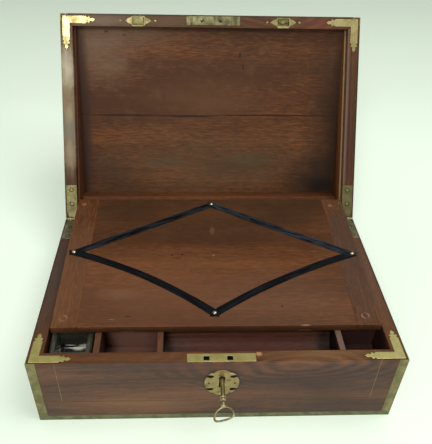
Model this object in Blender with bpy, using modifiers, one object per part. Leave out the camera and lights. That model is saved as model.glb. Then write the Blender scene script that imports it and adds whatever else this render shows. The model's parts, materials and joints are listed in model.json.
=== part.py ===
"""A brass-bound writing box, open, with the lid's writing flap laid down over the base.

Run it with: blender --background --python part.py
Metres, +Z up. The origin is the middle of the base's underside and -Y is the lock side.
"""

from math import asin, atan, cos, pi, radians, sin, sqrt, tan

import bmesh
import bpy
from mathutils import Matrix, Vector

MM = 0.001

# Carcass
WIDTH = 400 * MM
DEPTH = 270 * MM
FRONT_HEIGHT = 106 * MM
BACK_HEIGHT = 64 * MM
LID_FRONT_HEIGHT = 22 * MM
WALL = 16 * MM
BOTTOM_BOARD = 8 * MM
TOP_BOARD = 6.7 * MM
VENEER = 1 * MM
LINING = 2.2 * MM
BACK_LINING = 7 * MM
LINING_DEPTH = 9.5 * MM
BACK_LINING_DEPTH = 28 * MM
BOARD_JOINT_Y = 0
GAP = 0.3 * MM
ARRIS = 0.5 * MM
LID_OPEN = radians(114.5)
HINGE_SETBACK = 0.2 * MM

# Brass binding and rim inlay
BAND = 1.2 * MM
STRAP_ARM = 10 * MM
PLATE = 1.2 * MM
CORNER_INSET = 2.8 * MM
CORNER_ARM = 9.6 * MM
CORNER_REACH = 43 * MM
FINIAL = 12 * MM

# Trays in the base
TRAY_DEPTH = 46 * MM
PARTITION = 6 * MM
TRAY_DROP = 54 * MM
TRAY_FLOOR = 6 * MM
DIVIDER = 6.4 * MM
INK_SPACE = 51.1 * MM
MIDDLE_SPACE = 60.8 * MM
RIGHT_SPACE = 48.1 * MM
PEN_TRAY_EDGE = 26 * MM
PEN_TRAY_SCOOP = 13 * MM
PEN_TRAY_SAG = 3 * MM
WELL_WIDTH = 45.4 * MM
WELL_DEPTH = 44 * MM
WELL_HEIGHT = 43 * MM
WELL_WALL = 6.5 * MM
WELL_FLOOR = 8 * MM
WELL_BEVEL = 2.5 * MM

# Hinges
LEAF_WIDTH = 14.3 * MM
LEAF_LENGTH = 46.7 * MM
LEAF_TAPER = 12 * MM
LEAF_OUT = 1.7 * MM
KNUCKLE_WIDTH = 9.5 * MM
KNUCKLE_RADIUS = 2.6 * MM
PIN_RADIUS = 1 * MM

# Lock, key and escutcheon
LOCK_X = 2.2 * MM
LOCK_PLATE_LENGTH = 72.4 * MM
LOCK_PLATE_WIDTH = 11.8 * MM
LOCK_PLATE_INSET = 1.2 * MM
LINK_PLATE_LENGTH = 71.7 * MM
LOCK_CASE_LENGTH = 66 * MM
LOCK_CASE_THICK = 9.5 * MM
LOCK_CASE_INSET = 1.9 * MM
LOCK_CASE_DROP = 51 * MM
SHEET = 0.8 * MM
STAPLE_X = (-13.6 * MM, 11.2 * MM)
STAPLE_INSET = 6.4 * MM
STAPLE_WIDTH = 3 * MM
STAPLE_THICK = 3.4 * MM
STAPLE_LENGTH = 9 * MM
EYE_WIDTH = 2 * MM
EYE_HEIGHT = 4 * MM
EYE_CENTRE = 5 * MM
SOCKET_WIDTH = 6.2 * MM
BOLT_THICK = 1.2 * MM
HOOK_LENGTH = 3.2 * MM
HOOK_HEIGHT = 2 * MM
HOOK_GAP = 0.4 * MM
HOOK_ARM = 3 * MM
BOLT_BAR_DROP = 13 * MM
BOLT_BAR = 4 * MM
BOLT_TAIL = 2.5 * MM
KEY_X = 3.5 * MM
KEY_DROP = 29.5 * MM
KEY_TURN = radians(65)
KEY_RADIUS = 2 * MM
KEY_REACH = 34 * MM
KEY_STEM = 12 * MM
COLLAR_RADIUS = 2.8 * MM
BIT_REACH = 7.3 * MM
BIT_WIDTH = 4.5 * MM
BIT_THICK = 2 * MM
BOW_WIDTH = 20.7 * MM
BOW_LENGTH = 15.5 * MM
BOW_FLARE = 0.2
BOW_SQUARENESS = 0.65
BOW_WIRE = 1.15 * MM
KEYHOLE_RADIUS = 3.6 * MM
KEYHOLE_SLOT = 6.2 * MM
KEYHOLE_LIFT = 1.3 * MM
KEYHOLE_DROP = 17.3 * MM
ESCUTCHEON_WIDTH = 37.7 * MM
ESCUTCHEON_HEIGHT = 46 * MM
ESCUTCHEON_DROP = 7.1 * MM
ESCUTCHEON_THICK = 1.3 * MM
ESCUTCHEON_PROUD = 0.5 * MM

# Flap catches in the lid's front rim
CATCH_X = (-97.5 * MM, 96 * MM)
CATCH_LENGTH = 35.5 * MM
CATCH_WIDTH = 12.4 * MM
CATCH_INSET = 2 * MM
CATCH_WINDOW = 15 * MM
CATCH_WINDOW_WIDTH = 9 * MM
CATCH_BLADE = 13.6 * MM
CATCH_BLADE_THICK = 3 * MM
CATCH_THUMB = 4.4 * MM

# Writing flap of the lid
FLAP_SIDE_CLEAR = 0.5 * MM
FLAP_THICK = 8.7 * MM
FLAP_CLEAR = 1 * MM
FLAP_SETBACK = 45.9 * MM
FLAP_SWING = 0.6 * MM
CLAMP = 28 * MM
MORTISE_LIP = 0.6 * MM
MORTISE_DEPTH = 5 * MM
STRIP_WIDTH = 12 * MM
STRIP_SETBACK = 3 * MM
STRIP_THICK = 0.6 * MM
RIBBON_WIDTH = 9 * MM
RIBBON_THICK = 0.6 * MM
STUD_RADIUS = 2.6 * MM
STUD_HEIGHT = 2.2 * MM
STUD_SHANK = 0.9 * MM
STUD_DEPTH = 5 * MM
BACK_STUD_INSET = 13 * MM
FRONT_STUD_INSET = 18.5 * MM
FRONT_STUD_X = -3 * MM
SIDE_STUD_INSET = 9 * MM
LEFT_STUD_SHIFT = 5.5 * MM
RIGHT_STUD_SHIFT = 0.5 * MM
FRONT_LEFT_BOW = 10 * MM
FRONT_RIGHT_BOW = 7 * MM

# Worked out from the sizes above
CLOSED_HEIGHT = FRONT_HEIGHT + LID_FRONT_HEIGHT
TRAY_FLOOR_TOP = FRONT_HEIGHT - TRAY_DROP
KEY_Z = FRONT_HEIGHT - KEY_DROP
HALF_W = WIDTH / 2
HALF_D = DEPTH / 2
SLOPE = atan((FRONT_HEIGHT - BACK_HEIGHT) / DEPTH)
RIM_LENGTH = (DEPTH + HINGE_SETBACK) / cos(SLOPE)
HINGE = Vector((0, HALF_D + HINGE_SETBACK, BACK_HEIGHT - HINGE_SETBACK * tan(SLOPE)))
RIM_NORMAL = Vector((0, sin(SLOPE), cos(SLOPE)))
RIM_LEVEL = GAP / 2
TOP_THICK = TOP_BOARD + GAP + VENEER
INNER_X = HALF_W - WALL
INNER_Y = HALF_D - WALL
LEFT_DIVIDER_X = INK_SPACE + DIVIDER / 2 - INNER_X
MIDDLE_DIVIDER_X = LEFT_DIVIDER_X + MIDDLE_SPACE + DIVIDER
RIGHT_DIVIDER_X = INNER_X - RIGHT_SPACE - DIVIDER / 2
WELL_X = INK_SPACE / 2 - INNER_X
FLAP_WIDTH = 2 * (INNER_X - GAP - LINING - FLAP_SIDE_CLEAR)
FLAP_LENGTH = DEPTH - 2 * WALL - FLAP_CLEAR
FLAP_LIFT = (WALL + HINGE_SETBACK) / cos(SLOPE) + STRIP_THICK + GAP + FLAP_SWING
FLAP_TILT = asin((FLAP_LIFT - GAP) / FLAP_LENGTH)
HINGE_X = HALF_W - LEAF_OUT - LEAF_WIDTH / 2


def collection(name):
    """A new collection in the scene."""
    group = bpy.data.collections.new(name)
    bpy.context.scene.collection.children.link(group)
    return group


def material(name, color, roughness, metallic=0.0, transmission=0.0):
    """A Principled material with one colour."""
    mat = bpy.data.materials.new(name)
    mat.use_nodes = True
    shader = mat.node_tree.nodes["Principled BSDF"]
    shader.inputs["Base Color"].default_value = (*color, 1.0)
    shader.inputs["Roughness"].default_value = roughness
    shader.inputs["Metallic"].default_value = metallic
    shader.inputs["Transmission Weight"].default_value = transmission
    mat.diffuse_color = (*color, 1.0)
    return mat


def empty(name, location=(0, 0, 0), turn_x=0.0, parent=None):
    """An axis or a working plane, turned about X."""
    axis = bpy.data.objects.new(name, None)
    axis.location = location
    axis.rotation_euler.x = turn_x
    axis.parent = parent
    axis.empty_display_size = 0.05
    CUTTERS.objects.link(axis)
    return axis


def part(name, mesh, mat, parent=None):
    """One named piece of the box."""
    mesh.name = name
    mesh.materials.clear()
    mesh.materials.append(mat)
    mesh.shade_smooth()
    mesh.set_sharp_from_angle(angle=radians(35))
    piece = bpy.data.objects.new(name, mesh)
    piece.parent = parent
    PARTS.objects.link(piece)
    return piece


def cutter(mesh, parent=None):
    """A hidden tool solid for a Boolean."""
    tool = bpy.data.objects.new("tool", mesh)
    tool.parent = parent
    tool.hide_render = True
    tool.display_type = "WIRE"
    CUTTERS.objects.link(tool)
    return tool


def combine(piece, tool, operation="DIFFERENCE"):
    """Cut a tool from a piece, or join it on."""
    step = piece.modifiers.new(operation.lower(), "BOOLEAN")
    step.operation = operation
    step.solver = "EXACT"
    step.object = tool


def cut(mesh, pieces, parent=None):
    """Cut the same shape from several pieces."""
    tool = cutter(mesh, parent)
    for piece in pieces:
        combine(piece, tool)


def join(piece, mesh, parent=None):
    """Join a shape onto a piece."""
    combine(piece, cutter(mesh, parent), "UNION")


def soften(piece, width=ARRIS, segments=2):
    """Take the sharpness off a piece's edges."""
    bevel = piece.modifiers.new("arris", "BEVEL")
    bevel.width = width
    bevel.segments = segments
    bevel.limit_method = "ANGLE"
    bevel.angle_limit = radians(40)
    return piece


def box_mesh(low, high):
    """A block between two corners."""
    low, high = Vector(low), Vector(high)
    bm = bmesh.new()
    bmesh.ops.create_cube(bm, size=1)
    bmesh.ops.scale(bm, vec=high - low, verts=bm.verts)
    bmesh.ops.translate(bm, vec=(low + high) / 2, verts=bm.verts)
    mesh = bpy.data.meshes.new("block")
    bm.to_mesh(mesh)
    bm.free()
    return mesh


def rod_mesh(radius, x0, x1, sides=16):
    """A round rod along X."""
    bm = bmesh.new()
    bmesh.ops.create_cone(
        bm, cap_ends=True, segments=sides, radius1=radius, radius2=radius, depth=x1 - x0
    )
    mesh = bpy.data.meshes.new("rod")
    bm.to_mesh(mesh)
    bm.free()
    mesh.transform(Matrix.Translation(((x0 + x1) / 2, 0, 0)) @ Matrix.Rotation(pi / 2, 4, "Y"))
    return mesh


def curve_mesh(curve):
    """The closed mesh of a curve, with its caps welded on."""
    holder = bpy.data.objects.new("outline", curve)
    bpy.context.scene.collection.objects.link(holder)
    bpy.context.view_layer.update()
    mesh = bpy.data.meshes.new_from_object(holder.evaluated_get(bpy.context.evaluated_depsgraph_get()))
    bpy.data.objects.remove(holder)
    bm = bmesh.new()
    bm.from_mesh(mesh)
    bmesh.ops.remove_doubles(bm, verts=bm.verts, dist=0.000002)
    bmesh.ops.recalc_face_normals(bm, faces=bm.faces)
    bm.to_mesh(mesh)
    bm.free()
    return mesh


def outline_mesh(loops, low, high):
    """Flat outlines in XY, holes among them, made solid from one height to another."""
    curve = bpy.data.curves.new("outline", "CURVE")
    curve.dimensions = "2D"
    curve.fill_mode = "BOTH"
    curve.extrude = (high - low) / 2
    for loop in loops:
        spline = curve.splines.new("POLY")
        spline.points.add(len(loop) - 1)
        for point, (x, y) in zip(spline.points, loop):
            point.co = (x, y, 0, 1)
        spline.use_cyclic_u = True
    mesh = curve_mesh(curve)
    mesh.transform(Matrix.Translation((0, 0, (low + high) / 2)))
    return mesh


def side_mesh(outline, x0, x1):
    """An outline in YZ made solid along X."""
    mesh = outline_mesh([outline], x0, x1)
    mesh.transform(Matrix(((0, 0, 1, 0), (1, 0, 0, 0), (0, 1, 0, 0), (0, 0, 0, 1))))
    return mesh


def front_mesh(loops, y0, y1):
    """Outlines in XZ made solid along Y."""
    mesh = outline_mesh(loops, -y1, -y0)
    mesh.transform(Matrix.Rotation(pi / 2, 4, "X"))
    return mesh


def turned_mesh(profile, sides=16):
    """A profile of (radius, height), top to bottom, turned about Z."""
    bm = bmesh.new()
    verts = [bm.verts.new((radius, 0, height)) for radius, height in profile]
    for first, second in zip(verts, verts[1:]):
        bm.edges.new((first, second))
    mesh = bpy.data.meshes.new("profile")
    bm.to_mesh(mesh)
    bm.free()
    holder = bpy.data.objects.new("profile", mesh)
    bpy.context.scene.collection.objects.link(holder)
    screw = holder.modifiers.new("turn", "SCREW")
    screw.steps = screw.render_steps = sides
    screw.use_merge_vertices = True
    screw.merge_threshold = 0.00001
    bpy.context.view_layer.update()
    solid = bpy.data.meshes.new_from_object(holder.evaluated_get(bpy.context.evaluated_depsgraph_get()))
    bpy.data.objects.remove(holder)
    return solid


def trim(mesh, point, normal):
    """Cut a solid off at a plane and close it, keeping what lies behind the plane."""
    bm = bmesh.new()
    bm.from_mesh(mesh)
    geometry = list(bm.verts) + list(bm.edges) + list(bm.faces)
    found = bmesh.ops.bisect_plane(
        bm, geom=geometry, dist=0.000001, plane_co=point, plane_no=normal, clear_outer=True
    )
    edges = [item for item in found["geom_cut"] if isinstance(item, bmesh.types.BMEdge)]
    bmesh.ops.edgenet_fill(bm, edges=edges)
    bmesh.ops.recalc_face_normals(bm, faces=bm.faces)
    bm.to_mesh(mesh)
    bm.free()
    return mesh


def below_rim(mesh, drop=RIM_LEVEL):
    """Cut a base piece off along the sloping rim."""
    return trim(mesh, HINGE - RIM_NORMAL * drop, RIM_NORMAL)


def above_rim(mesh, rise=RIM_LEVEL):
    """Cut a lid piece off along the sloping rim, as the closed box has it."""
    return trim(mesh, HINGE + RIM_NORMAL * rise, -RIM_NORMAL)


def in_place(mesh):
    """Leave a mesh of the base where it is."""
    return mesh


def in_lid(mesh):
    """Move a mesh of the closed box to the lid's hinge axis."""
    mesh.transform(Matrix.Translation(-HINGE))
    return mesh


def wall_outline(length):
    """Plan of a wall along X with mitred ends, its outer face at y = 0."""
    end = length / 2 - GAP / sqrt(2)
    return [(-end, 0), (end, 0), (end - WALL, WALL), (WALL - end, WALL)]


def strap_outline(side_x, side_y, out=0.0, spare=0.0):
    """Plan of one L-shaped corner strap, or of its rebate, which reaches out past the walls."""
    arm = STRAP_ARM + spare
    thick = BAND + spare
    corner = [(-out, -out), (arm, -out), (arm, thick), (thick, thick), (thick, arm), (-out, arm)]
    return [(side_x * (HALF_W - x), side_y * (HALF_D - y)) for x, y in corner]


def rectangle(low_x, low_y, high_x, high_y):
    """The four corners of an upright rectangle."""
    return [(low_x, low_y), (high_x, low_y), (high_x, high_y), (low_x, high_y)]


def mitre_corners(corners, distance):
    """Corners of a loop, counter-clockwise, moved outward so that each side moves by the same distance."""
    moved = []
    count = len(corners)
    for n in range(count):
        here = Vector(corners[n])
        before = (here - Vector(corners[n - 1])).normalized()
        after = (Vector(corners[(n + 1) % count]) - here).normalized()
        out = (Vector((before.y, -before.x)) + Vector((after.y, -after.x))).normalized()
        moved.append(here + out * (distance / max(out.dot(Vector((after.y, -after.x))), 0.4)))
    return moved


def grown(loop, distance):
    """A loop of either hand made larger all round."""
    area = sum(a[0] * b[1] - b[0] * a[1] for a, b in zip(loop, loop[1:] + loop[:1]))
    return [tuple(point) for point in mitre_corners(loop, distance if area > 0 else -distance)]


def ease_rim(mesh, length):
    """Round the two long edges that a wall shows at the rim."""
    bm = bmesh.new()
    bm.from_mesh(mesh)
    bm.normal_update()
    rims = [face for face in bm.faces if abs(face.normal.dot(RIM_NORMAL)) > 0.9999]
    edges = [edge for face in rims for edge in face.edges if edge.calc_length() > length / 2]
    bmesh.ops.bevel(bm, geom=edges, offset=ARRIS, segments=2, profile=0.5, affect="EDGES")
    bm.to_mesh(mesh)
    bm.free()
    return mesh


def make_walls(prefix, low, high, shape, mat, parent):
    """Four mitred walls round the box, cut to the rim by shape."""
    walls = {}
    for side, length, distance, turn in (
        ("front", WIDTH, HALF_D, 0), ("right", DEPTH, HALF_W, pi / 2),
        ("back", WIDTH, HALF_D, pi), ("left", DEPTH, HALF_W, -pi / 2),
    ):
        mesh = outline_mesh([wall_outline(length)], low, high)
        mesh.transform(Matrix.Rotation(turn, 4, "Z") @ Matrix.Translation((0, -distance, 0)))
        walls[side] = part(f"{prefix}_{side}_wall", ease_rim(shape(mesh), length), mat, parent)
    return walls


def make_straps(prefix, low, high, shape, mat, parent, walls, rebate_shape):
    """Four brass straps let into the corners."""
    straps = {}
    for back, side_y in (("front", -1), ("back", 1)):
        for hand, side_x in (("left", -1), ("right", 1)):
            mesh = outline_mesh([strap_outline(side_x, side_y)], low, high)
            straps[back, hand] = part(f"{prefix}_{back}_{hand}_strap", shape(mesh), mat, parent)
            rebate = outline_mesh([strap_outline(side_x, side_y, WALL, GAP)], low - WALL, high + WALL)
            cut(rebate_shape(rebate), [walls[back], walls[hand]], parent)
    return straps


def make_band(name, low, high, mat, parent=None, place=in_place):
    """The flat brass band round the box's edge, as a ring of four mitred strips soldered together."""
    outer = rectangle(-HALF_W, -HALF_D, HALF_W, HALF_D)
    inner = rectangle(BAND - HALF_W, BAND - HALF_D, HALF_W - BAND, HALF_D - BAND)
    mesh = outline_mesh([outer, inner], low, high)
    return part(name, place(mesh), mat, parent)


def inlay_heights(sign, depth):
    """Lower and upper height of a sheet let into a rim: sign -1 in the base, +1 in the lid."""
    faces = sign * RIM_LEVEL, sign * (RIM_LEVEL + depth)
    return min(faces), max(faces)


def inlay(name, loops, sign, mat, parent, walls):
    """A plate let flush into the rim, with the bed cut for it."""
    low, high = inlay_heights(sign, PLATE)
    plate = part(name, outline_mesh(loops, low, high), mat, parent)
    bed_low, bed_high = inlay_heights(sign, PLATE + GAP)
    mouth = -sign * RIM_LEVEL
    bed = outline_mesh([grown(loops[0], GAP)], min(bed_low, mouth), max(bed_high, mouth))
    cut(bed, walls, parent)
    return plate


def finial(width):
    """Half of a leaf-shaped arm end: (share of the finial's length, half width)."""
    return [
        (0.0, 0.5 * width), (0.08, 0.34 * width), (0.2, 0.34 * width), (0.28, 0.47 * width),
        (0.4, 0.42 * width), (0.46, 0.2 * width), (0.58, 0.18 * width), (0.68, 0.27 * width),
        (0.82, 0.19 * width),
    ]


def corner_outline(side_x):
    """An L-shaped corner plate with a finial on each arm, on the rim's front corner."""
    start = CORNER_REACH - FINIAL
    middle = CORNER_ARM / 2
    ends = finial(CORNER_ARM)
    near = [(start + FINIAL * along, middle - half) for along, half in ends]
    far = [(start + FINIAL * along, middle + half) for along, half in reversed(ends)]
    arm = near + [(CORNER_REACH, middle)] + far
    other = [(y, x) for x, y in reversed(arm)]
    points = [(0, 0)] + arm + [(CORNER_ARM, CORNER_ARM)] + other
    edge_x = HALF_W - CORNER_INSET
    edge_y = RIM_LENGTH - CORNER_INSET
    return [(side_x * (edge_x - x), y - edge_y) for x, y in points]


def leaf_outline(side_x, knuckle_low, knuckle_high):
    """A hinge leaf on the side rim, tapering to its own knuckle at the hinge line."""
    half = LEAF_WIDTH / 2
    neck = KNUCKLE_WIDTH / 2
    stop = KNUCKLE_RADIUS + GAP
    points = [
        (-half, -LEAF_LENGTH), (half, -LEAF_LENGTH), (half, -LEAF_TAPER), (neck, -stop),
        (knuckle_high, -stop), (knuckle_high, -KNUCKLE_RADIUS / 2),
        (knuckle_low, -KNUCKLE_RADIUS / 2), (knuckle_low, -stop), (-neck, -stop), (-half, -LEAF_TAPER),
    ]
    kept = [point for number, point in enumerate(points) if point != points[number - 1]]
    return [(side_x * (HINGE_X + x), y) for x, y in kept]


def make_hinge(hand, side_x, base, lid, brass):
    """One strap hinge: a leaf on each rim, a knuckle on each leaf, and the pin fixed in the base's."""
    neck = KNUCKLE_WIDTH / 2
    outer, inner = (RIM_LEVEL, neck), (-neck, -RIM_LEVEL)
    for owner, sign, span in ((base, -1, outer), (lid, 1, inner)):
        prefix, rim, walls, straps = owner
        wood = [walls["back"], walls[hand]]
        leaf = inlay(f"{prefix}_hinge_{hand}", [leaf_outline(side_x, *span)], sign, brass, rim, wood)
        low, high = sorted(side_x * (HINGE_X + edge) for edge in span)
        join(leaf, rod_mesh(KNUCKLE_RADIUS, low, high), rim)
        pin_low, pin_high = sorted(side_x * (HINGE_X + edge) for edge in (-neck, outer[1] / 2))
        if sign < 0:
            join(leaf, rod_mesh(PIN_RADIUS, pin_low, pin_high), rim)
        else:
            cut(rod_mesh(PIN_RADIUS + GAP, low - GAP, high + GAP), [leaf], rim)
        notch_low, notch_high = sorted(side_x * (HINGE_X + edge) for edge in (-neck - GAP, neck + GAP))
        cut(rod_mesh(KNUCKLE_RADIUS + GAP, notch_low, notch_high), wood + [straps["back", hand]], rim)


def make_trays(wood, dark_wood, glass):
    """The partition behind the trays, their floor and dividers, the scooped pen tray and the ink well."""
    front = -INNER_Y
    back = front + TRAY_DEPTH
    side = INNER_X - GAP
    floor_low = TRAY_FLOOR_TOP - TRAY_FLOOR
    mesh = box_mesh((-side, back, BOTTOM_BOARD + GAP), (side, back + PARTITION, FRONT_HEIGHT))
    soften(part("tray_partition", below_rim(mesh), wood))
    mesh = box_mesh((-side, front + GAP, floor_low), (side, back - GAP, TRAY_FLOOR_TOP))
    part("tray_floor", mesh, dark_wood)
    dividers = (("left", LEFT_DIVIDER_X), ("middle", MIDDLE_DIVIDER_X), ("right", RIGHT_DIVIDER_X))
    for hand, x in dividers:
        low = (x - DIVIDER / 2, front + GAP, TRAY_FLOOR_TOP + GAP)
        high = (x + DIVIDER / 2, back - GAP, FRONT_HEIGHT)
        soften(part(f"tray_divider_{hand}", below_rim(box_mesh(low, high)), wood))
    make_pen_tray(front + GAP, back - GAP, dark_wood)
    make_ink_well(front, glass)


def make_pen_tray(front, back, wood):
    """A block between two dividers, hollowed by a long round scoop for pens."""
    low_x = MIDDLE_DIVIDER_X + DIVIDER / 2 + GAP
    high_x = RIGHT_DIVIDER_X - DIVIDER / 2 - GAP
    base = TRAY_FLOOR_TOP + GAP
    half = (back - front) / 2 - PEN_TRAY_SAG
    radius = (half**2 + PEN_TRAY_SCOOP**2) / (2 * PEN_TRAY_SCOOP)
    reach = asin(half / radius)
    top = base + PEN_TRAY_EDGE
    middle = (front + back) / 2
    steps = 10
    angles = [reach * (1 - 2 * n / steps) for n in range(steps + 1)]
    arc = [(middle + radius * sin(a), top + radius * (cos(reach) - cos(a))) for a in angles]
    outline = [(front, base), (back, base), (back, top)] + arc + [(front, top)]
    part("pen_tray", side_mesh(outline, low_x, high_x), wood)


def make_ink_well(front, glass):
    """A heavy square glass well, open at the top."""
    well_front = front + GAP + (TRAY_DEPTH - WELL_DEPTH) / 2
    low = Vector((WELL_X - WELL_WIDTH / 2, well_front, TRAY_FLOOR_TOP + GAP))
    high = low + Vector((WELL_WIDTH, WELL_DEPTH - GAP, WELL_HEIGHT))
    well = part("ink_well", box_mesh(low, high), glass)
    inset = Vector((WELL_WALL, WELL_WALL, 0))
    floor = Vector((0, 0, WELL_FLOOR))
    cut(box_mesh(low + inset + floor, high - inset + floor), [well])
    soften(well, WELL_BEVEL, 1)


def keyhole_outline(grow=0.0):
    """A round hole with a slot below it, in XZ."""
    radius = KEYHOLE_RADIUS + grow
    half = KEYHOLE_SLOT / 2 + grow
    start = asin(half / radius) - pi / 2
    steps = 12
    turn = (2 * pi - 2 * asin(half / radius)) / steps
    arc = [(radius * cos(start + turn * n), radius * sin(start + turn * n)) for n in range(steps + 1)]
    slot = [(-half, -KEYHOLE_DROP - grow), (half, -KEYHOLE_DROP - grow)]
    return [(KEY_X + x, KEY_Z + KEYHOLE_LIFT + z) for x, z in arc + slot]


def escutcheon_outline():
    """An upright oval of leaf-like lobes parted by four slits, in XZ."""
    quarter = [
        (0, 1), (0.25, 0.97), (0.42, 0.87), (0.45, 0.78), (0.57, 0.8), (0.7, 0.72), (0.8, 0.62),
        (0.55, 0.595), (0.46, 0.54), (0.46, 0.46), (0.55, 0.405), (0.88, 0.42), (0.97, 0.27), (1, 0),
    ]
    right = quarter + [(x, -z) for x, z in reversed(quarter[:-1])]
    shares = right + [(-x, z) for x, z in reversed(right[1:-1])]
    middle = KEY_Z - ESCUTCHEON_DROP
    return [(KEY_X + x * ESCUTCHEON_WIDTH / 2, middle + z * ESCUTCHEON_HEIGHT / 2) for x, z in shares]


def make_lock(base, brass, steel):
    """The lock let into the front wall: rim plate, sheet case with its drill pin, and hooked bolt."""
    rim, front_wall = base[1], base[2]["front"]
    edge = -RIM_LENGTH + LOCK_PLATE_INSET
    half = LOCK_PLATE_LENGTH / 2
    plate = rectangle(LOCK_X - half, edge, LOCK_X + half, edge + LOCK_PLATE_WIDTH)
    staple_y = -RIM_LENGTH + STAPLE_INSET
    hole = SOCKET_WIDTH / 2
    sockets = [rectangle(x - hole, staple_y - hole, x + hole, staple_y + hole) for x in STAPLE_X]
    inlay("lock_plate", [plate] + sockets, -1, brass, rim, [front_wall])
    make_lock_case(front_wall, steel)
    make_bolt(brass)
    back = -HALF_D - ESCUTCHEON_PROUD + ESCUTCHEON_THICK
    escutcheon = front_mesh([escutcheon_outline(), keyhole_outline()], -HALF_D - ESCUTCHEON_PROUD, back)
    part("escutcheon", escutcheon, brass)
    bed = grown(escutcheon_outline(), GAP)
    cut(front_mesh([bed], -HALF_D - WALL, back + GAP), [front_wall])
    cut(front_mesh([keyhole_outline(GAP)], -HALF_D - WALL, -HALF_D + LOCK_CASE_INSET + GAP), [front_wall])


def make_lock_case(front_wall, steel):
    """A thin sheet box, open under the rim plate, with the key's drill pin and the bolt's guide inside."""
    half = LOCK_CASE_LENGTH / 2
    low = Vector((LOCK_X - half, -HALF_D + LOCK_CASE_INSET, FRONT_HEIGHT - LOCK_CASE_DROP))
    high = Vector((LOCK_X + half, low.y + LOCK_CASE_THICK, FRONT_HEIGHT))
    case_drop = RIM_LEVEL + PLATE + GAP
    case = part("lock_case", below_rim(box_mesh(low, high), case_drop), steel)
    sheet = Vector((SHEET, SHEET, SHEET))
    cut(box_mesh(low + sheet, high - sheet + Vector((0, 0, WALL))), [case])
    spare = Vector((GAP, GAP, GAP))
    cut(box_mesh(low - spare, high + spare), [front_wall])
    cut(front_mesh([keyhole_outline()], low.y - SHEET, low.y + 2 * SHEET), [case])
    pin = rod_mesh(PIN_RADIUS, low.y + SHEET, high.y - SHEET / 2)
    pin.transform(Matrix.Translation((KEY_X, 0, KEY_Z)) @ Matrix.Rotation(pi / 2, 4, "Z"))
    join(case, pin)
    guide_top = bolt_bar_bottom() - GAP
    guide_low = (STAPLE_X[1] - 3 * STAPLE_WIDTH, bolt_y() - BOLT_THICK, guide_top - BIT_THICK)
    join(case, box_mesh(guide_low, (STAPLE_X[1] + 2 * STAPLE_WIDTH, high.y - SHEET / 2, guide_top)))


def bolt_y():
    """Front of the bolt's plate: it runs through the middle of the staples' eyes."""
    eye = HINGE.y - (RIM_LENGTH - STAPLE_INSET) * cos(SLOPE) - EYE_CENTRE * sin(SLOPE)
    return eye - BOLT_THICK / 2


def eye_height():
    """Height of the staples' eyes when the lid is closed."""
    return HINGE.z + (RIM_LENGTH - STAPLE_INSET) * sin(SLOPE) - EYE_CENTRE * cos(SLOPE)


def bolt_bar_bottom():
    """Underside of the bolt's long bar."""
    return eye_height() - BOLT_BAR_DROP


def make_bolt(brass):
    """The lock's sliding bolt: a bar with two hooks for the staples and a tail that the key pushes."""
    bar_low = bolt_bar_bottom()
    bar_high = bar_low + BOLT_BAR
    tip_low = eye_height() - HOOK_HEIGHT / 2
    tip_high = eye_height() + HOOK_HEIGHT / 2
    tips = [x + STAPLE_WIDTH / 2 + HOOK_GAP for x in STAPLE_X]
    roots = [tip + HOOK_LENGTH for tip in tips]
    arms = [root + HOOK_ARM for root in roots]
    tail_high = KEY_X - BIT_REACH - 4 * GAP
    tail_low = tail_high - BOLT_TAIL
    tail_end = KEY_Z - BIT_REACH
    outline = [
        (roots[0], bar_low), (tail_low, bar_low), (tail_low, tail_end), (tail_high, tail_end),
        (tail_high, bar_low), (arms[1], bar_low), (arms[1], tip_high), (tips[1], tip_high),
        (tips[1], tip_low), (roots[1], tip_low), (roots[1], bar_high), (arms[0], bar_high),
        (arms[0], tip_high), (tips[0], tip_high), (tips[0], tip_low), (roots[0], tip_low),
    ]
    part("lock_bolt", front_mesh([outline], bolt_y(), bolt_y() + BOLT_THICK), brass)


def bow_mesh():
    """The key's open bow: a round wire, narrow at the neck and squared off at the far end."""
    curve = bpy.data.curves.new("bow", "CURVE")
    curve.dimensions = "3D"
    curve.bevel_depth = BOW_WIRE
    curve.bevel_resolution = 1
    spline = curve.splines.new("POLY")
    steps = 24
    spline.points.add(steps - 1)
    for n, point in enumerate(spline.points):
        along, across = cos(2 * pi * n / steps), sin(2 * pi * n / steps)
        power = BOW_SQUARENESS if along > 0 else 1
        width = BOW_WIDTH * (1 + BOW_FLARE * along)
        x = width / 2 * abs(across) ** power * (1 if across > 0 else -1)
        z = BOW_LENGTH / 2 * abs(along) ** power * (1 if along > 0 else -1)
        point.co = (x, 0, z, 1)
    spline.use_cyclic_u = True
    return curve_mesh(curve)


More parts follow.
